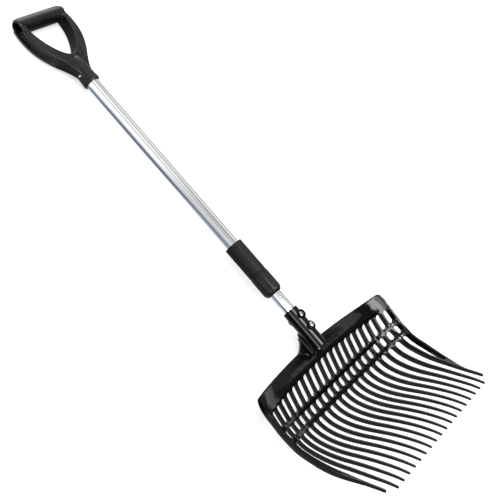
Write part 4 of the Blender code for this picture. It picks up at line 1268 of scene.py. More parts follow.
@dataclass
class Clamp:
    """Clamp sleeve on the outer tube and the ribbed nut that tightens it."""

    top_y: float = -0.253
    seam_y: float = -0.1855
    nut_end: float = -0.139
    sleeve_r: float = 0.0173
    bore_r: float = OUTER_TUBE_R + GAP
    stub_r: float = 0.0148
    stub_end: float = -0.1640
    mouth_r: float = INNER_TUBE_R + 0.0006
    sleeve_edges: tuple[float, float, float] = (0.0014, 0.0007, 0.0005)
    nut_r: float = 0.0178
    nut_mouth: float = INNER_TUBE_R + 0.0007
    nut_edges: tuple[float, float, float] = (0.0010, 0.0020, 0.0012)
    nut_nose: Station = (0.0056, 0.0046)
    cone_end: float = -0.1480
    cone_run: float = 0.006
    cone_r: Station = (0.0142, 0.0130)
    cone_steps: Station = (0.0004, 0.0008)
    stub_room: float = 0.0004
    ribs: int = 22
    rib_rise: float = 0.0005
    rib_r: float = 0.0016
    rib_gaps: Station = (0.0026, 0.0052)
    rib_points: int = 22
    rib_sides: int = 14
    rib_taper: float = 8.0
    rib_least: float = 0.04
    smooth: float = 40.0

    def build_sleeve(self, bench: Workbench, plastic: bpy.types.Material) -> bpy.types.Object:
        """Makes and finishes the sleeve."""
        top_edge, seam_edge, stub_edge = self.sleeve_edges
        seat = OUTER_TUBE_SPAN[1] + GAP
        profile = rounded_profile((
            (self.top_y, self.bore_r, 0.0), (self.top_y, self.sleeve_r, top_edge),
            (self.seam_y, self.sleeve_r, seam_edge), (self.seam_y, self.stub_r, 0.0),
            (self.stub_end, self.stub_r, stub_edge), (self.stub_end, self.mouth_r, 0.0),
            (seat, self.mouth_r, 0.0), (seat, self.bore_r, 0.0)))
        piece = bench.rough("clamp_sleeve", moved(turned(profile, 96, hollow=True), (0.0, 0.0, SHAFT_Z)))
        return bench.finish(piece, plastic, Slot.SLEEVE_PLASTIC, Body.HANDLE, ("lock_sleeve",), self.smooth)

    def rib_tree(self, material: bpy.types.Material) -> FormTree:
        """Returns the tree that sets round-ended ribs all round a turned body."""
        tree = FormTree("ribs all round")
        count = tree.size("ribs", self.ribs, "NodeSocketInt")
        out = tree.size("distance from axis", self.nut_r - self.rib_r)
        thick = tree.size("rib radius", self.rib_r)
        first = tree.size("first end", self.seam_y + self.rib_gaps[0])
        last = tree.size("last end", self.nut_end - self.rib_gaps[1])
        begin = tree.node("ShaderNodeCombineXYZ", {1: first})
        finish = tree.node("ShaderNodeCombineXYZ", {1: last})
        line = tree.node("GeometryNodeCurvePrimitiveLine",
                         {"Start": begin.outputs[0], "End": finish.outputs[0]})
        fine = tree.node("GeometryNodeResampleCurve", {"Curve": line.outputs[0], "Count": self.rib_points})
        along = tree.node("GeometryNodeSplineParameter")
        middle = tree.sum("ABSOLUTE", Num(tree, along.outputs["Factor"]) * 2.0 - 1.0)
        near = tree.sum("MAXIMUM", middle * self.rib_taper - (self.rib_taper - 1.0), 0.0)
        swell = tree.sum("SQRT", tree.sum("MAXIMUM", (near * near) * -1.0 + 1.0, self.rib_least))
        round_edge = tree.node("GeometryNodeCurvePrimitiveCircle",
                               {"Resolution": self.rib_sides, "Radius": thick})
        rib = tree.node("GeometryNodeCurveToMesh",
                        {"Curve": fine.outputs[0], "Profile Curve": round_edge.outputs[0], "Scale": swell,
                         "Fill Caps": True})
        ring = tree.node("GeometryNodeMeshCircle", {"Vertices": count, "Radius": out})
        stood = tree.node("GeometryNodeTransform",
                          {"Geometry": ring.outputs[0], "Rotation": (math.pi / 2, 0.0, 0.0),
                           "Translation": (0.0, 0.0, SHAFT_Z)})
        placed = tree.node("GeometryNodeInstanceOnPoints",
                           {"Points": stood.outputs[0], "Instance": rib.outputs[0]})
        whole = tree.node("GeometryNodeJoinGeometry")
        tree.group.links.new(placed.outputs[0], whole.inputs[0])
        tree.group.links.new(tree.start.outputs["Shape"], whole.inputs[0])
        tree.close(whole.outputs[0], material)
        return tree

    def build_nut(self, bench: Workbench, plastic: bpy.types.Material) -> bpy.types.Object:
        """Makes the nut's turned body, sets its ribs and finishes it."""
        start = self.seam_y + GAP
        body_r = self.nut_r - self.rib_rise
        seam_edge, nose_edge, mouth_edge = self.nut_edges
        nose_run, nose_in = self.nut_nose
        wide, narrow = self.cone_r
        narrow_step, mouth_step = self.cone_steps
        stub_y = self.stub_end + self.stub_room
        profile = rounded_profile((
            (start, self.stub_r + GAP, 0.0), (start, body_r, seam_edge),
            (self.nut_end - nose_run, body_r, nose_edge),
            (self.nut_end, self.nut_r - nose_in, mouth_edge), (self.nut_end, self.nut_mouth, 0.0),
            (self.cone_end + mouth_step, self.nut_mouth, 0.0), (self.cone_end + narrow_step, narrow, 0.0),
            (self.cone_end - self.cone_run, wide, 0.0), (stub_y, wide, 0.0),
            (stub_y, self.stub_r + GAP, 0.0)))
        piece = bench.rough("clamp_nut", moved(turned(profile, 96, hollow=True), (0.0, 0.0, SHAFT_Z)))
        self.rib_tree(plastic).grow(bench, piece)
        return bench.finish(piece, plastic, Slot.NUT_PLASTIC, Body.CLAMP, ("lock_nut",), self.smooth)


# Grip


@dataclass
class Grip:
    """Moulded D grip: two limbs, a bar across and a neck over the tube."""

    bar_y: float = -0.7965
    lip_y: float = -0.642
    neck_r: float = 0.0153
    lip_r: float = 0.0168
    neck_start: float = -0.6850
    neck_nose: tuple[Station, ...] = ((0.016, 0.0110), (0.009, 0.0138))
    neck_taper: float = 0.0002
    lip_run: float = 0.024
    lip_shoulder: Station = (0.008, 0.0006)
    lip_edge: Station = (0.0012, 0.0010)
    bore_over: float = 0.004
    bar_r: float = 0.0152
    bar_end_r: float = 0.0095
    bar_end_rise: float = 0.0045
    bar_runs: tuple[float, float, float] = (0.0020, 0.0060, 0.0110)
    bar_end_step: float = 0.0020
    bar_shoulder: float = 0.0012
    bar_rises: Station = (0.0033, 0.0012)
    bar_bore_r: float = 0.0086
    bar_bore_l: float = 0.042
    bar_bore_run: float = 0.0040
    bar_bore_over: float = 0.006
    recess_r: float = 0.0092
    recess_run: float = 0.0130
    recess_x: float = 0.0512
    recess_l: float = 0.0150
    hollow_taper: float = 0.0010
    bar_bore_z: float = 0.0025
    half_w: float = 0.0600
    limb_t: float = 0.0250
    limb_edge: float = 0.0038
    limb_thin: float = 0.40
    steps: int = 40
    arch_spacing: float = 1.8
    groove_w: float = 0.0155
    groove_d: float = 0.0065
    groove_taper: float = 0.001
    groove_over: float = 0.010
    groove_start: float = 0.004
    groove_end: float = -0.700
    groove_run_out: float = 0.82
    groove_lift: float = -0.1
    screw_head_r: float = 0.0031
    screw_seat: float = 0.0008
    screw_room: float = 0.0005
    screw_hole: Station = (0.005, 0.03)
    screw_r: float = 0.0018
    screw_tip: Station = (0.0006, 0.0013)
    screw_inside: float = 0.0015
    screw_rim: Station = (0.0004, 0.0001)
    dome_h: float = 0.0012
    dome_flat: float = 0.12
    cross: Station = (0.0036, 0.0007)
    cross_depth: float = 0.0020
    cross_x: float = 0.0017
    voxel: float = 0.0009
    smoothing: int = 5
    smooth: float = 60.0
    outer: tuple[Station, ...] = ((-0.7965, 0.0585), (-0.776, 0.0612), (-0.750, 0.0592), (-0.728, 0.0520),
                                  (-0.708, 0.0402), (-0.692, 0.0285), (-0.680, 0.0212), (-0.668, 0.0160),
                                  (-0.654, 0.0120))
    inner: tuple[Station, ...] = ((-0.7965, 0.0488), (-0.776, 0.0482), (-0.755, 0.0432), (-0.735, 0.0337),
                                  (-0.720, 0.0232), (-0.709, 0.0112), (-0.7045, 0.0))

    def limbs(self) -> bmesh.types.BMesh:
        """Returns both limbs as one plate with eased rims, thinner towards the neck."""
        right = []
        for step in range(self.steps + 1):
            y = mix(self.outer[0][0], self.outer[-1][0], step / self.steps)
            right.append((through(self.outer, y), y))
        arch_top = self.inner[-1][0]
        arch = []
        for step in range(self.steps):
            y = mix(self.inner[0][0], arch_top, 1.0 - (1.0 - step / self.steps) ** self.arch_spacing)
            arch.append((through(self.inner, y), y))
        outline = right + [(-x, y) for x, y in reversed(right)]
        outline += [(-x, y) for x, y in arch] + [(0.0, arch_top)] + list(reversed(arch))
        shape = loft([[(x, y, z) for x, y in outline] for z in (-self.limb_t / 2, self.limb_t / 2)])
        rims = [edge for edge in shape.edges if abs(edge.verts[0].co.z - edge.verts[1].co.z) < 1e-6]
        bmesh.ops.bevel(shape, geom=rims, offset=self.limb_edge, segments=4, profile=0.5, affect="EDGES",
                        clamp_overlap=True)
        for vert in shape.verts:
            share = min(max((vert.co.y - arch_top) / (self.outer[-1][0] - arch_top), 0.0), 1.0)
            vert.co.z *= 1.0 - self.limb_thin * share * share * (3.0 - 2.0 * share)
        return shape

    def bar(self) -> bmesh.types.BMesh:
        """Returns the bar; towards its ends the underside draws up."""
        first, second, third = self.bar_runs
        stations = ((self.half_w, self.bar_end_r, self.bar_end_rise),
                    (self.half_w - first, self.bar_end_r + self.bar_end_step, self.bar_rises[0]),
                    (self.half_w - second, self.bar_r - self.bar_shoulder, self.bar_rises[1]),
                    (self.half_w - third, self.bar_r, 0.0))
        rows = [(-x, r, rise) for x, r, rise in stations] + list(reversed(stations))
        turns = [2 * math.pi * index / 64 for index in range(64)]
        return loft([[(x, r * math.sin(a), rise + r * math.cos(a)) for a in turns] for x, r, rise in rows])

    def groove(self, side: int) -> bmesh.types.BMesh:
        """Returns the channel down the outer side of one limb."""
        half = self.groove_w / 2
        rows = []
        for step in range(self.steps + 1):
            share = step / self.steps
            y = mix(self.bar_y + self.groove_start, self.groove_end, share)
            edge = through(self.outer, y)
            ending = max(share - self.groove_run_out, 0.0) / (1.0 - self.groove_run_out)
            floor = edge - self.groove_d * mix(1.0, self.groove_lift, ending)
            mouth = edge + self.groove_over
            rows.append([(side * x, y, z) for x, z in ((floor, -half + self.groove_taper), (mouth, -half),
                                                       (mouth, half), (floor, half - self.groove_taper))])
        return loft(rows)

    def hollows(self, side: int) -> list[bmesh.types.BMesh]:
        """Returns the bore into one end of the bar and the shallow recess that runs on into the limb."""
        made = []
        bore_x = self.half_w - self.bar_bore_l + self.bar_bore_over
        for radius, run, length, start in ((self.bar_bore_r, self.bar_bore_run, self.bar_bore_l, bore_x),
                                           (self.recess_r, self.recess_run, self.recess_l, self.recess_x)):
            shape = crosswise(((0.0, radius - self.hollow_taper), (length, radius)))
            bmesh.ops.scale(shape, verts=shape.verts, vec=(1.0, 1.0 + run / 2 / radius, 1.0))
            bmesh.ops.translate(shape, verts=shape.verts, vec=(0.0, side * run / 2, 0.0))
            if side < 0:
                bmesh.ops.rotate(shape, verts=shape.verts, matrix=Matrix.Rotation(math.pi, 3, "Z"))
            made.append(moved(shape, (side * start, self.bar_y, self.bar_bore_z)))
        return made

    def neck(self) -> bmesh.types.BMesh:
        """Returns the neck over the tube, with its lip."""
        stations = [(self.neck_start - run, radius) for run, radius in self.neck_nose]
        shoulder_run, shoulder_in = self.lip_shoulder
        edge_run, edge_in = self.lip_edge
        stations += [(self.neck_start, self.neck_r - self.neck_taper),
                     (self.lip_y - self.lip_run, self.neck_r),
                     (self.lip_y - shoulder_run, self.lip_r - shoulder_in),
                     (self.lip_y - edge_run, self.lip_r), (self.lip_y, self.lip_r - edge_in)]
        return turned(stations, 72)

    def screw_cut(self) -> bmesh.types.BMesh:
        """Returns the screw's stepped hole through the neck."""
        seat = self.neck_r - self.screw_seat
        room = self.screw_head_r + self.screw_room
        start, end = self.screw_hole
        hole = crosswise(((start, SCREW_HOLE_R), (seat, SCREW_HOLE_R), (seat, room), (end, room)))
        return moved(hole, (0.0, GRIP_SCREW_Y, 0.0))

    def build(self, bench: Workbench, plastic: bpy.types.Material) -> bpy.types.Object:
        """Joins and cuts the grip, melts its corners and finishes it."""
        piece = bench.rough("grip", self.limbs())
        bore = turned(((OUTER_TUBE_SPAN[0] - GAP, OUTER_TUBE_R + GAP),
                       (self.lip_y + self.bore_over, OUTER_TUBE_R + GAP)), 72)
        bar = moved(self.bar(), (0.0, self.bar_y, 0.0))
        steps = [(Join.ADD, bar), (Join.ADD, self.neck()), (Join.CUT, bore)]
        for side in (1, -1):
            steps.append((Join.CUT, self.groove(side)))
            steps += [(Join.CUT, shape) for shape in self.hollows(side)]
        steps.append((Join.CUT, self.screw_cut()))
        bench.combine(piece, steps)
        bench.soften(piece, self.voxel, self.smoothing)
        piece.data.transform(Matrix.Translation((0.0, 0.0, SHAFT_Z)))
        return bench.finish(piece, plastic, Slot.GRIP_PLASTIC, Body.HANDLE, ("d_grip",), self.smooth)

    def build_screw(self, bench: Workbench, zinc: bpy.types.Material) -> bpy.types.Object:
        """Makes and finishes the pan-head screw with its cross recess."""
        base = self.neck_r - self.screw_seat + GAP
        inside = OUTER_TUBE_R - TUBE_WALL - self.screw_inside
        tip_run, tip_r = self.screw_tip
        rim_h, rim_in = self.screw_rim
        stations = [(inside, tip_r), (inside + tip_run, self.screw_r), (base, self.screw_r),
                    (base, self.screw_head_r - rim_in)]
        for share in (0.0, 0.2, 0.4, 0.6, 0.8, 1.0):
            turn = share * math.pi / 2
            out = self.dome_flat + (1.0 - self.dome_flat) * math.cos(turn)
            stations.append((base + rim_h + self.dome_h * math.sin(turn), self.screw_head_r * out))
        screw = bench.rough("neck_screw", crosswise(stations, 48))
        cuts = []
        for wide, tall in (self.cross[::-1], self.cross):
            slot = bmesh.new()
            bmesh.ops.create_cube(slot, size=1.0)
            bmesh.ops.scale(slot, verts=slot.verts, vec=(self.cross_depth, wide, tall))
            cuts.append((Join.CUT, moved(slot, (base + self.cross_x, 0.0, 0.0))))
        bench.combine(screw, cuts)
        screw.data.transform(Matrix.Translation((0.0, GRIP_SCREW_Y, SHAFT_Z)))
        return bench.finish(screw, zinc, Slot.ZINC_STEEL, Body.HANDLE, ("grip_screw",))


# Camera


@dataclass(frozen=True)
class Viewpoint:
    """The camera's place in the shaft's frame."""

    place: Point = (1.4859, -0.0502, 1.3491)
    right: Point = (-0.54279357, 0.65265842, 0.52859449)
    down: Point = (0.38325376, 0.75250999, -0.53557937)
    forward: Point = (-0.74732302, -0.08812321, -0.65859138)
    lens: float = 81.36
    sensor: float = 36.0
    reach: float = 50.0

    def set_up(self, laid: LaidFrame) -> None:
        """Creates the camera and makes it the scene's own."""
        data = bpy.data.cameras.new("camera")
        data.lens = self.lens
        data.sensor_width = self.sensor
        data.sensor_fit = "HORIZONTAL"
        data.clip_end = self.reach
        camera = bpy.data.objects.new("camera", data)
        axes = (laid.turn(self.right), -laid.turn(self.down), -laid.turn(self.forward))
        turn = Matrix(axes).transposed().to_4x4()
        camera.matrix_world = Matrix.Translation(laid.place(self.place)) @ turn
        bpy.context.scene.collection.objects.link(camera)
        bpy.context.scene.camera = camera


# Finishes


class ShadeTree(Wiring):
    """Builds one material, read from the piece's own place in metres."""

    def __init__(self, name: str, laid: LaidFrame) -> None:
        """Starts the material and its coordinates in the shaft's frame."""
        self.material = bpy.data.materials.new(name)
        self.material.use_nodes = True
        self.group = self.material.node_tree
        self.shader = self.group.nodes["Principled BSDF"]
        place = self.node("ShaderNodeTexCoord")
        turned_back = self.node("ShaderNodeMapping",
                                {"Vector": place.outputs["Object"], "Rotation": (-laid.tilt, 0.0, 0.0)},
                                vector_type="POINT")
        self.place = turned_back.outputs[0]

    def stretched(self, scale: Point) -> bpy.types.NodeSocket:
        """Returns the coordinates stretched along the axes."""
        return self.node("ShaderNodeVectorMath", {0: self.place, 1: scale}, operation="MULTIPLY").outputs[0]

    def along(self) -> Num:
        """Returns the place along the shaft."""
        return Num(self, self.node("ShaderNodeSeparateXYZ", {0: self.place}).outputs[1])

    def noise(self, scale: float, detail: float = 2.0, rough: float = 0.5,
              stretch: Point = (1.0, 1.0, 1.0), warp: float = 0.0) -> Num:
        """Returns a noise field.

        Args:
            scale: Waves in a metre.
            detail: Number of finer layers.
            rough: How strong the finer layers are.
            stretch: Extra scale along each axis.
            warp: How much it winds.

        Returns:
            The field, about 0 to 1.
        """
        made = self.node("ShaderNodeTexNoise",
                         {"Vector": self.stretched(stretch), "Scale": scale, "Detail": detail,
                          "Roughness": rough, "Distortion": warp})
        return Num(self, made.outputs[0])

    def cells(self, scale: float) -> Num:
        """Returns a field of small rounded cells."""
        made = self.node("ShaderNodeTexVoronoi", {"Vector": self.place, "Scale": scale}, feature="SMOOTH_F1")
        return Num(self, made.outputs[0])

    def between(self, value: Num, low: float, high: float, start: float = 0.3, end: float = 0.7) -> Num:
        """Returns a field mapped from start and end to low and high."""
        made = self.node("ShaderNodeMapRange",
                         {"Value": value, "From Min": start, "From Max": end, "To Min": low, "To Max": high},
                         clamp=True)
        return Num(self, made.outputs[0])

    def tint(self, share: Num, first: Point, second: Point) -> None:
        """Colours the surface between two colours."""
        made = self.node("ShaderNodeMix", {0: share}, data_type="RGBA")
        made.inputs[6].default_value = (*first, 1.0)
        made.inputs[7].default_value = (*second, 1.0)
        self.group.links.new(made.outputs[2], self.shader.inputs["Base Color"])

    def rough(self, value: Num) -> None:
        """Sets the surface's roughness."""
        self.group.links.new(value.socket, self.shader.inputs["Roughness"])

    def relief(self, layers: Sequence[tuple[Num, float]]) -> None:
        """Raises the surface.

        Args:
            layers: Fields and their heights in metres.
        """
        normal = None
        for value, height in layers:
            inputs: dict[str | int, Any] = {"Height": value, "Distance": height, "Strength": 1.0}
            if normal is not None:
                inputs["Normal"] = normal
            normal = self.node("ShaderNodeBump", inputs).outputs[0]
        self.group.links.new(normal, self.shader.inputs["Normal"])

    def steady(self, **values: float) -> None:
        """Sets sizes that are the same all over on the shader itself."""
        for name, value in values.items():
            self.shader.inputs[name.replace("_", " ")].default_value = value


@dataclass(frozen=True)
class MouldedPlastic:
    """Black moulded plastic with a fine grain."""

    name: str
    dark: Point
    light: Point
    roughness: Station
    grain: float
    grain_height: float
    wave_height: float
    specular: float
    scuff: float = 0.0
    cloud_scale: float = 38.0
    wave_scale: float = 45.0
    scratch_scale: float = 60.0
    scratch_stretch: Point = (9.0, 0.7, 9.0)

    def make(self, laid: LaidFrame) -> bpy.types.Material:
        """Returns the material."""
        tree = ShadeTree(self.name, laid)
        cloud = tree.noise(self.cloud_scale, detail=4.0, rough=0.6)
        fine = tree.noise(self.grain, detail=2.0, rough=0.6)
        pits = tree.cells(self.grain * 0.7)
        patches = tree.between(cloud * 0.6 + fine * 0.4, 0.0, 1.0, start=0.35, end=0.65)
        tree.tint(patches, self.dark, self.light)
        scratches = tree.noise(self.scratch_scale, detail=3.0, rough=0.7, stretch=self.scratch_stretch,
                               warp=0.6)
        low, high = self.roughness
        rough = tree.between(cloud, low, high) + tree.between(fine, -0.02, 0.03)
        if self.scuff:
            worn = tree.between(tree.along(), 0.0, self.scuff, start=0.40, end=0.52)
            rough = rough + worn * tree.between(scratches, 0.0, 1.0, start=0.45, end=0.7)
        tree.rough(rough)
        tree.relief(((tree.noise(self.wave_scale, detail=1.0), self.wave_height), (fine, self.grain_height),
                     (pits, self.grain_height * 0.6), (scratches, self.grain_height * 0.5)))
        tree.steady(Specular_IOR_Level=self.specular)
        return tree.material


@dataclass(frozen=True)
class DrawnAluminium:
    """Bright aluminium with fine lines drawn along the tube."""

    name: str = "drawn_aluminium"
    dark: Point = (0.80, 0.81, 0.83)
    light: Point = (0.90, 0.90, 0.90)
    roughness: Station = (0.03, 0.055)
    line_scale: float = 1500.0
    line_stretch: Point = (1.0, 0.006, 1.0)
    line_height: float = 0.000002
    soft_scale: float = 220.0
    soft_stretch: Point = (1.0, 0.03, 1.0)
    spot_scale: float = 90.0

    def make(self, laid: LaidFrame) -> bpy.types.Material:
        """Returns the material."""
        tree = ShadeTree(self.name, laid)
        lines = tree.noise(self.line_scale, detail=2.0, rough=0.6, stretch=self.line_stretch)
        soft = tree.noise(self.soft_scale, detail=3.0, rough=0.5, stretch=self.soft_stretch)
        spots = tree.noise(self.spot_scale, detail=5.0, rough=0.6)
        tree.tint(tree.between(lines * 0.5 + soft * 0.5, 0.0, 1.0, start=0.4, end=0.6), self.dark, self.light)
        tree.rough(tree.between(lines * 0.6 + spots * 0.4, self.roughness[0], self.roughness[1]))
        tree.relief(((lines, self.line_height), (soft, self.line_height * 2.0)))
        tree.steady(Metallic=1.0)
        return tree.material


@dataclass(frozen=True)
class ZincPlate:
    """Zinc plated steel with soft spangles and turning marks."""

    name: str = "zinc_plated_steel"
    dark: Point = (0.34, 0.35, 0.37)
    light: Point = (0.50, 0.50, 0.50)
    roughness: Station = (0.16, 0.30)
    spangle_scale: float = 900.0
    mark_scale: float = 2600.0
    mark_height: float = 0.000004

    def make(self, laid: LaidFrame) -> bpy.types.Material:
        """Returns the material."""
        tree = ShadeTree(self.name, laid)
        spangle = tree.cells(self.spangle_scale)
        fine = tree.noise(self.mark_scale, detail=2.0)
        tree.tint(tree.between(spangle, 0.0, 1.0, start=0.1, end=0.6), self.dark, self.light)
        tree.rough(tree.between(fine * 0.5 + spangle * 0.5, self.roughness[0], self.roughness[1]))
        tree.relief(((fine, self.mark_height),))
        tree.steady(Metallic=1.0)
        return tree.material


@dataclass(frozen=True)
class NaturalNylon:
    """Milky nylon of the hidden guide and collet."""

    name: str = "natural_nylon"
    dark: Point = (0.58, 0.56, 0.49)
    light: Point = (0.66, 0.64, 0.58)
    roughness: Station = (0.38, 0.52)
    cloud_scale: float = 120.0
    grain: float = 1800.0
    grain_height: float = 0.00001

    def make(self, laid: LaidFrame) -> bpy.types.Material:
        """Returns the material."""
        tree = ShadeTree(self.name, laid)
        cloud = tree.noise(self.cloud_scale, detail=4.0, rough=0.6)
        fine = tree.noise(self.grain, detail=2.0)
        tree.tint(cloud, self.dark, self.light)
        tree.rough(tree.between(fine, self.roughness[0], self.roughness[1]))
        tree.relief(((fine, self.grain_height),))
        return tree.material


HEAD_PLASTIC = MouldedPlastic(
    "gloss_black_plastic", dark=(0.0022, 0.0022, 0.0022), light=(0.004, 0.004, 0.004), roughness=(0.05, 0.10),
    grain=1500.0, grain_height=0.000004, wave_height=0.000006, specular=0.24, scuff=0.08)
GRIP_PLASTIC = MouldedPlastic(
    "textured_black_plastic", dark=(0.0035, 0.0035, 0.0036), light=(0.0060, 0.0060, 0.0066),
    roughness=(0.30, 0.42), grain=1300.0, grain_height=0.00005, wave_height=0.00003, specular=0.26)
SLEEVE_PLASTIC = MouldedPlastic(
    "matte_black_plastic", dark=(0.006, 0.006, 0.006), light=(0.010, 0.010, 0.010), roughness=(0.50, 0.62),
    grain=1500.0, grain_height=0.00006, wave_height=0.00002, specular=0.16)
NUT_PLASTIC = MouldedPlastic(
    "ribbed_black_plastic", dark=(0.006, 0.006, 0.007), light=(0.009, 0.009, 0.011), roughness=(0.26, 0.36),
    grain=1700.0, grain_height=0.00002, wave_height=0.00002, specular=0.20)


@dataclass
class Finishes:
    """All finishes of the fork, made once."""

    laid: LaidFrame

    def __post_init__(self) -> None:
        """Makes every material."""
        self.head = HEAD_PLASTIC.make(self.laid)
        self.grip = GRIP_PLASTIC.make(self.laid)
        self.sleeve = SLEEVE_PLASTIC.make(self.laid)
        self.nut = NUT_PLASTIC.make(self.laid)
        self.aluminium = DrawnAluminium().make(self.laid)
        self.zinc = ZincPlate().make(self.laid)
        self.nylon = NaturalNylon().make(self.laid)

    def dress_node(self, node: bpy.types.Object, material: bpy.types.Material) -> None:
        """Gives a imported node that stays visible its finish."""
        for index in range(len(node.material_slots)):
            node.material_slots[index].material = material
        if not node.material_slots:
            node.data.materials.append(material)


# Studio


@dataclass(frozen=True)
class Softbox:
    """One rectangular lamp, aimed at the fork."""

    name: str
    place: Point
    aim: Point
    size: Station
    radiance: float
    mirrored: bool = True

    def hang(self) -> None:
        """Creates the lamp with an even face of the given radiance."""
        data = bpy.data.lights.new(self.name, "AREA")
        data.shape = "RECTANGLE"
        data.size, data.size_y = self.size
        data.energy = self.radiance * math.pi * self.size[0] * self.size[1]
        lamp = bpy.data.objects.new(self.name, data)
        turn = (Vector(self.aim) - Vector(self.place)).to_track_quat("-Z", "Y").to_matrix().to_4x4()
        lamp.matrix_world = Matrix.Translation(Vector(self.place)) @ turn
        lamp.visible_camera = False
        lamp.visible_glossy = self.mirrored
        bpy.context.scene.collection.objects.link(lamp)


@dataclass(frozen=True)
class Card:
    """One even patch of the surroundings, as reflections see it."""

    name: str
    angles: Station
    reach: Station
    level: Point
    edge: float = 0.7
    fade: float = 0.02


class SkyTree(Wiring):
    """Builds the surroundings: white to the camera, cards to reflections, even light to the rest."""

    def __init__(self, world: bpy.types.World) -> None:
        """Reads the direction as an angle across the shaft and a share along it."""
        self.group = world.node_tree
        where = self.node("ShaderNodeTexCoord")
        split = self.node("ShaderNodeSeparateXYZ", {0: where.outputs["Generated"]})
        across, along, up = (Num(self, split.outputs[index]) for index in range(3))
        self.angle = self.sum("ARCTAN2", up, across) * (180.0 / math.pi)
        self.along = along

    def light(self, level: Point | bpy.types.NodeSocket) -> bpy.types.NodeSocket:
        """Returns the surroundings at a level."""
        made = self.node("ShaderNodeBackground", {"Strength": 1.0})
        if isinstance(level, bpy.types.NodeSocket):
            self.group.links.new(level, made.inputs["Color"])
        else:
            made.inputs["Color"].default_value = (*level, 1.0)
        return made.outputs[0]

    def hang(self, ground: Point, cards: Sequence[Card]) -> bpy.types.NodeSocket:
        """Returns the surroundings with every card laid over those before it."""
        colour = self.node("ShaderNodeRGB").outputs[0]
        colour.default_value = (*ground, 1.0)
        for card in cards:
            mask = (self.inside(self.angle, card.angles[0], card.angles[1], card.edge)
                    * self.inside(self.along, card.reach[0], card.reach[1], card.fade))
            made = self.node("ShaderNodeMix", {0: mask, 6: colour}, data_type="RGBA")
            made.inputs[7].default_value = (*card.level, 1.0)
            colour = made.outputs[2]
        return self.light(colour)

    def choose(self, ray: str, others: bpy.types.NodeSocket,
               seen: bpy.types.NodeSocket) -> bpy.types.NodeSocket:
        """Returns one of two lights by the kind of ray."""
        path = self.node("ShaderNodeLightPath")
        return self.node("ShaderNodeMixShader", {0: path.outputs[ray], 1: others, 2: seen}).outputs[0]


class FloorTree(Wiring):
    """Builds the floor: white to the camera, with a painted shadow band along the shaft that only reflections
    see.
    """

    roughness = 0.9
    least = 0.0005

    def __init__(self) -> None:
        """Starts the material and reads the place on the floor."""
        self.material = bpy.data.materials.new("white_floor")
        self.material.use_nodes = True
        self.group = self.material.node_tree
        self.shader = self.group.nodes["Principled BSDF"]
        place = self.node("ShaderNodeTexCoord")
        split = self.node("ShaderNodeSeparateXYZ", {0: place.outputs["Object"]})
        self.across = Num(self, split.outputs[0])
        self.along = Num(self, split.outputs[1])
        self.rays = self.node("ShaderNodeLightPath")

    def mirrored(self, band: "PaintedFloorShade") -> tuple[Num, Num]:
        """Reads the floor as reflections see it, painted shadows included.

        Args:
            band: The painted shadow band beside the shaft.

        Returns:
            How bright the floor is and how much of the painted shadow's tint it has.
        """
        size = {name: self.curve(self.along, lambda y, name=name: band.read(name, y), band.span)
                for name in ("middle", "spread", "beyond", "depth", "level")}
        share = self.sum("MAXIMUM", self.across + band.near, self.least) / (size["middle"] + band.near)
        step = self.sum("LOGARITHM", share, math.e)
        step = self.sum("MINIMUM", step, size["beyond"]) / size["spread"]
        # Painted shadow of the shaft on the floor, seen only in reflections.
        dark = size["depth"] * self.sum("EXPONENT", step * step * -1.0)
        # Painted shade on the floor under the grip, seen only in reflections.
        beside_grip = self.inside(self.across, *band.grip_shadow_x, band.edge)
        shade = beside_grip * self.inside(self.along, *band.grip_shadow_y, band.edge)
        bright = size["level"] * (dark * -1.0 + 1.0) * (shade * -band.grip_shadow_depth + 1.0)
        return bright, dark

    def paint(self, colour: Point, glow: float, band: "PaintedFloorShade") -> bpy.types.Material:
        """Colours the floor for the camera, for reflections and for everything else.

        Args:
            colour: Its own colour.
            glow: How much it shines by itself to the camera.
            band: The painted shadow band beside the shaft.

        Returns:
            The material.
        """
        glossy = Num(self, self.rays.outputs["Is Glossy Ray"])
        bright, painted_shadow = self.mirrored(band)
        # Reflections see the floor glow, with its painted shadows; the camera sees it brighter and plain.
        strength = Num(self, self.rays.outputs["Is Camera Ray"]) * glow + glossy * bright
        plain = self.node("ShaderNodeMix", {0: glossy}, data_type="RGBA")
        plain.inputs[6].default_value = (*colour, 1.0)
        plain.inputs[7].default_value = (0.0, 0.0, 0.0, 1.0)
        self.group.links.new(plain.outputs[2], self.shader.inputs["Base Color"])
        self.group.links.new(strength.socket, self.shader.inputs["Emission Strength"])
        tint = self.node("ShaderNodeMix", {0: glossy * painted_shadow}, data_type="RGBA")
        tint.inputs[6].default_value = (1.0, 1.0, 1.0, 1.0)
        tint.inputs[7].default_value = (*band.tint, 1.0)
        self.group.links.new(tint.outputs[2], self.shader.inputs["Emission Color"])
        self.shader.inputs["Roughness"].default_value = self.roughness
        self.shader.inputs["Specular IOR Level"].default_value = 0.0
        return self.material


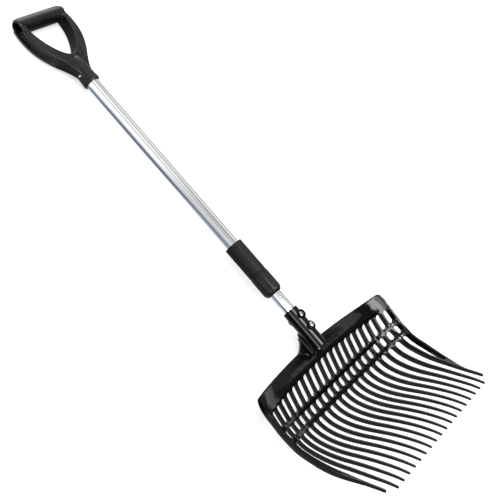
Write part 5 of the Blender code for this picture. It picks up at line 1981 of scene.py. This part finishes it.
@dataclass(frozen=True)
class PaintedFloorShade:
    """Painted shade on the floor as reflections see it, at places along the floor: a soft painted shadow band
    beside the shaft, painted shade under the grip, and the floor's glow to reflections, dimmer under the
    head.
    """

    near: float = 0.02
    edge: float = 0.012
    # Bluish tint of the painted shadow band.
    tint: Point = (0.80, 0.98, 1.30)
    span: Station = (-0.50, 0.40)
    middle: tuple[Station, ...] = ((-0.30, 0.019), (-0.20, 0.024), (-0.12, 0.040), (-0.04, 0.080),
                                   (0.02, 0.090), (0.17, 0.130), (0.20, 0.085), (0.40, 0.085))
    spread: tuple[Station, ...] = ((-0.30, 0.8), (-0.15, 0.9), (-0.04, 1.3), (0.02, 1.6), (0.17, 1.3),
                                   (0.20, 0.62), (0.40, 0.62))
    beyond: tuple[Station, ...] = ((-0.12, 5.0), (0.0, 1.0), (0.16, 0.6), (0.19, 0.0), (0.40, 0.0))
    # Strength of the painted shadow band, and the floor's glow to reflections, which is dimmer as painted
    # shade under the head.
    depth: tuple[Station, ...] = ((-0.38, 0.0), (-0.35, 0.74), (0.12, 0.74), (0.17, 0.76), (0.19, 0.92),
                                  (0.29, 0.92), (0.31, 0.2), (0.40, 0.2))
    level: tuple[Station, ...] = ((-0.38, 1.5), (-0.35, 1.05), (0.16, 1.05), (0.19, 1.00), (0.28, 1.00),
                                  (0.31, 0.8), (0.40, 0.8))
    # Place and strength of the painted shade under the grip.
    grip_shadow_x: Station = (-0.10, 0.055)
    grip_shadow_y: Station = (-0.56, -0.37)
    grip_shadow_depth: float = 0.8

    def read(self, name: str, y: float) -> float:
        """Returns one of the sizes at a place along the floor."""
        return through(getattr(self, name), y)


@dataclass(frozen=True)
class Studio:
    """White floor, white surroundings, soft lamps and cards that only reflections see."""

    floor_size: float = 14.0
    floor_colour: Point = (0.80, 0.80, 0.80)
    floor_glow: float = 0.60
    floor_z: float = -0.0005
    room: Point = (0.70, 0.70, 0.70)
    ground: Point = (0.47, 0.455, 0.43)
    cards: tuple[Card, ...] = ()
    boxes: tuple[Softbox, ...] = ()

    def lay_floor(self) -> None:
        """Creates the floor, a little brighter to the camera than to everything else."""
        half = self.floor_size / 2
        mesh = bpy.data.meshes.new("floor")
        mesh.from_pydata([(-half, -half, 0.0), (half, -half, 0.0), (half, half, 0.0), (-half, half, 0.0)], [],
                         [(0, 1, 2, 3)])
        mesh.materials.append(FloorTree().paint(self.floor_colour, self.floor_glow, PaintedFloorShade()))
        floor = bpy.data.objects.new("floor", mesh)
        floor.location.z = self.floor_z
        bpy.context.scene.collection.objects.link(floor)

    def light_room(self) -> None:
        """Sets the surroundings."""
        world = bpy.data.worlds.new("studio")
        bpy.context.scene.world = world
        world.use_nodes = True
        world.node_tree.nodes.remove(world.node_tree.nodes["Background"])
        sky = SkyTree(world)
        mirrored = sky.choose("Is Glossy Ray", sky.light(self.room), sky.hang(self.ground, self.cards))
        seen = sky.choose("Is Camera Ray", mirrored, sky.light((1.0, 1.0, 1.0)))
        world.node_tree.links.new(seen, world.node_tree.nodes["World Output"].inputs["Surface"])

    def set_up(self) -> None:
        """Creates the floor, the surroundings and the lamps."""
        self.lay_floor()
        self.light_room()
        for box in self.boxes:
            box.hang()
        bpy.context.scene.view_settings.view_transform = "Standard"


CARDS = (
    Card("side", (-12.0, 93.0), (-1.1, 1.1), (1.12, 1.14, 1.18), 3.0),
    Card("warm side", (60.0, 93.0), (-1.1, -0.19), (1.12, 1.12, 1.08), 3.0),
    Card("side middle", (9.0, 93.0), (-0.19, -0.065), (0.80, 0.815, 0.84), 5.0),
    Card("low side", (-16.0, 15.0), (-0.19, -0.045), (0.48, 0.48, 0.50), 9.0),
    Card("gap", (47.0, 59.0), (-1.1, -0.185), (0.53, 0.53, 0.47), 2.5),
    Card("gap middle", (48.0, 70.0), (-0.185, -0.065), (0.49, 0.49, 0.46), 5.0),
    Card("canopy end", (98.0, 116.0), (-1.1, -0.19), (0.56, 0.55, 0.51), 6.0),
    Card("canopy middle", (84.0, 121.0), (-0.19, -0.060), (0.42, 0.41, 0.39), 8.0),
    Card("grip hood", (70.0, 183.0), (-0.46, -0.335), (0.10, 0.10, 0.09), 5.0),
    Card("far wall", (100.0, 183.0), (-1.1, -0.46), (3.4, 3.4, 3.4), 3.0),
    Card("joint low", (-30.0, 11.0), (-0.045, 0.30), (0.30, 0.30, 0.30), 2.0),
    Card("parting light", (12.0, 27.0), (-0.044, 0.30), (7.5, 7.5, 7.5), 3.0, 0.008),
    Card("joint side", (37.0, 57.0), (-0.045, -0.012), (1.2, 1.2, 1.2), 3.0),
    Card("joint side far", (33.0, 57.0), (-0.012, 0.30), (0.45, 0.45, 0.45), 3.0),
    Card("joint ramp", (60.0, 75.0), (-0.056, 0.165), (3.2, 3.2, 3.2), 4.0, 0.008),
    Card("strip", (75.0, 88.0), (-0.056, 0.165), (30.0, 30.0, 30.0), 1.0, 0.008),
    Card("strip end", (88.0, 104.0), (-0.056, 0.165), (6.0, 6.0, 6.0), 3.0, 0.008),
    Card("corner", (60.0, 88.0), (0.165, 0.55), (7.5, 7.5, 7.5), 2.0),
    Card("wall", (104.0, 183.0), (-0.055, 1.1), (0.18, 0.18, 0.18)),
    Card("header end", (88.0, 112.8), (0.175, 0.60), (16.0, 16.0, 16.0), 0.4),
    Card("trapezoid", (121.5, 139.6), (-0.30, -0.03), (1.35, 1.35, 1.35)),
    Card("near end", (154.5, 171.5), (-0.03, 0.25), (1.5, 1.5, 1.5)),
    Card("near dark", (166.5, 183.0), (0.175, 0.30), (0.25, 0.25, 0.25)),
    Card("low band", (110.0, 183.0), (0.26, 1.1), (0.02, 0.02, 0.02), 1.0),
)

LAMPS = (
    Softbox("key_lamp", (0.6, -0.6, 2.4), (0.0, 0.0, 0.0), (2.2, 2.2), 2.3, mirrored=False),
)


def main() -> None:
    """Builds the pieces in order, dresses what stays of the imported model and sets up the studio."""
    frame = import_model()
    laid = LaidFrame.read(frame)
    bench = Workbench(laid)
    finishes = Finishes(laid)
    BasketHead().build(bench, finishes.head)
    Socket().build(bench, finishes.head)
    SocketBolts().build(bench, finishes.zinc)
    Tubes().build(bench, finishes.aluminium)
    clamp = Clamp()
    clamp.build_sleeve(bench, finishes.sleeve)
    clamp.build_nut(bench, finishes.nut)
    grip = Grip()
    grip.build(bench, finishes.grip)
    grip.build_screw(bench, finishes.zinc)
    for name in ("inner_guide", "clamp_collet"):
        finishes.dress_node(frame["nodes"][name], finishes.nylon)
    Viewpoint().set_up(laid)
    Studio(cards=CARDS, boxes=LAMPS).set_up()


if __name__ == "__main__":
    logging.basicConfig(level=logging.INFO, format="%(message)s")
    main()
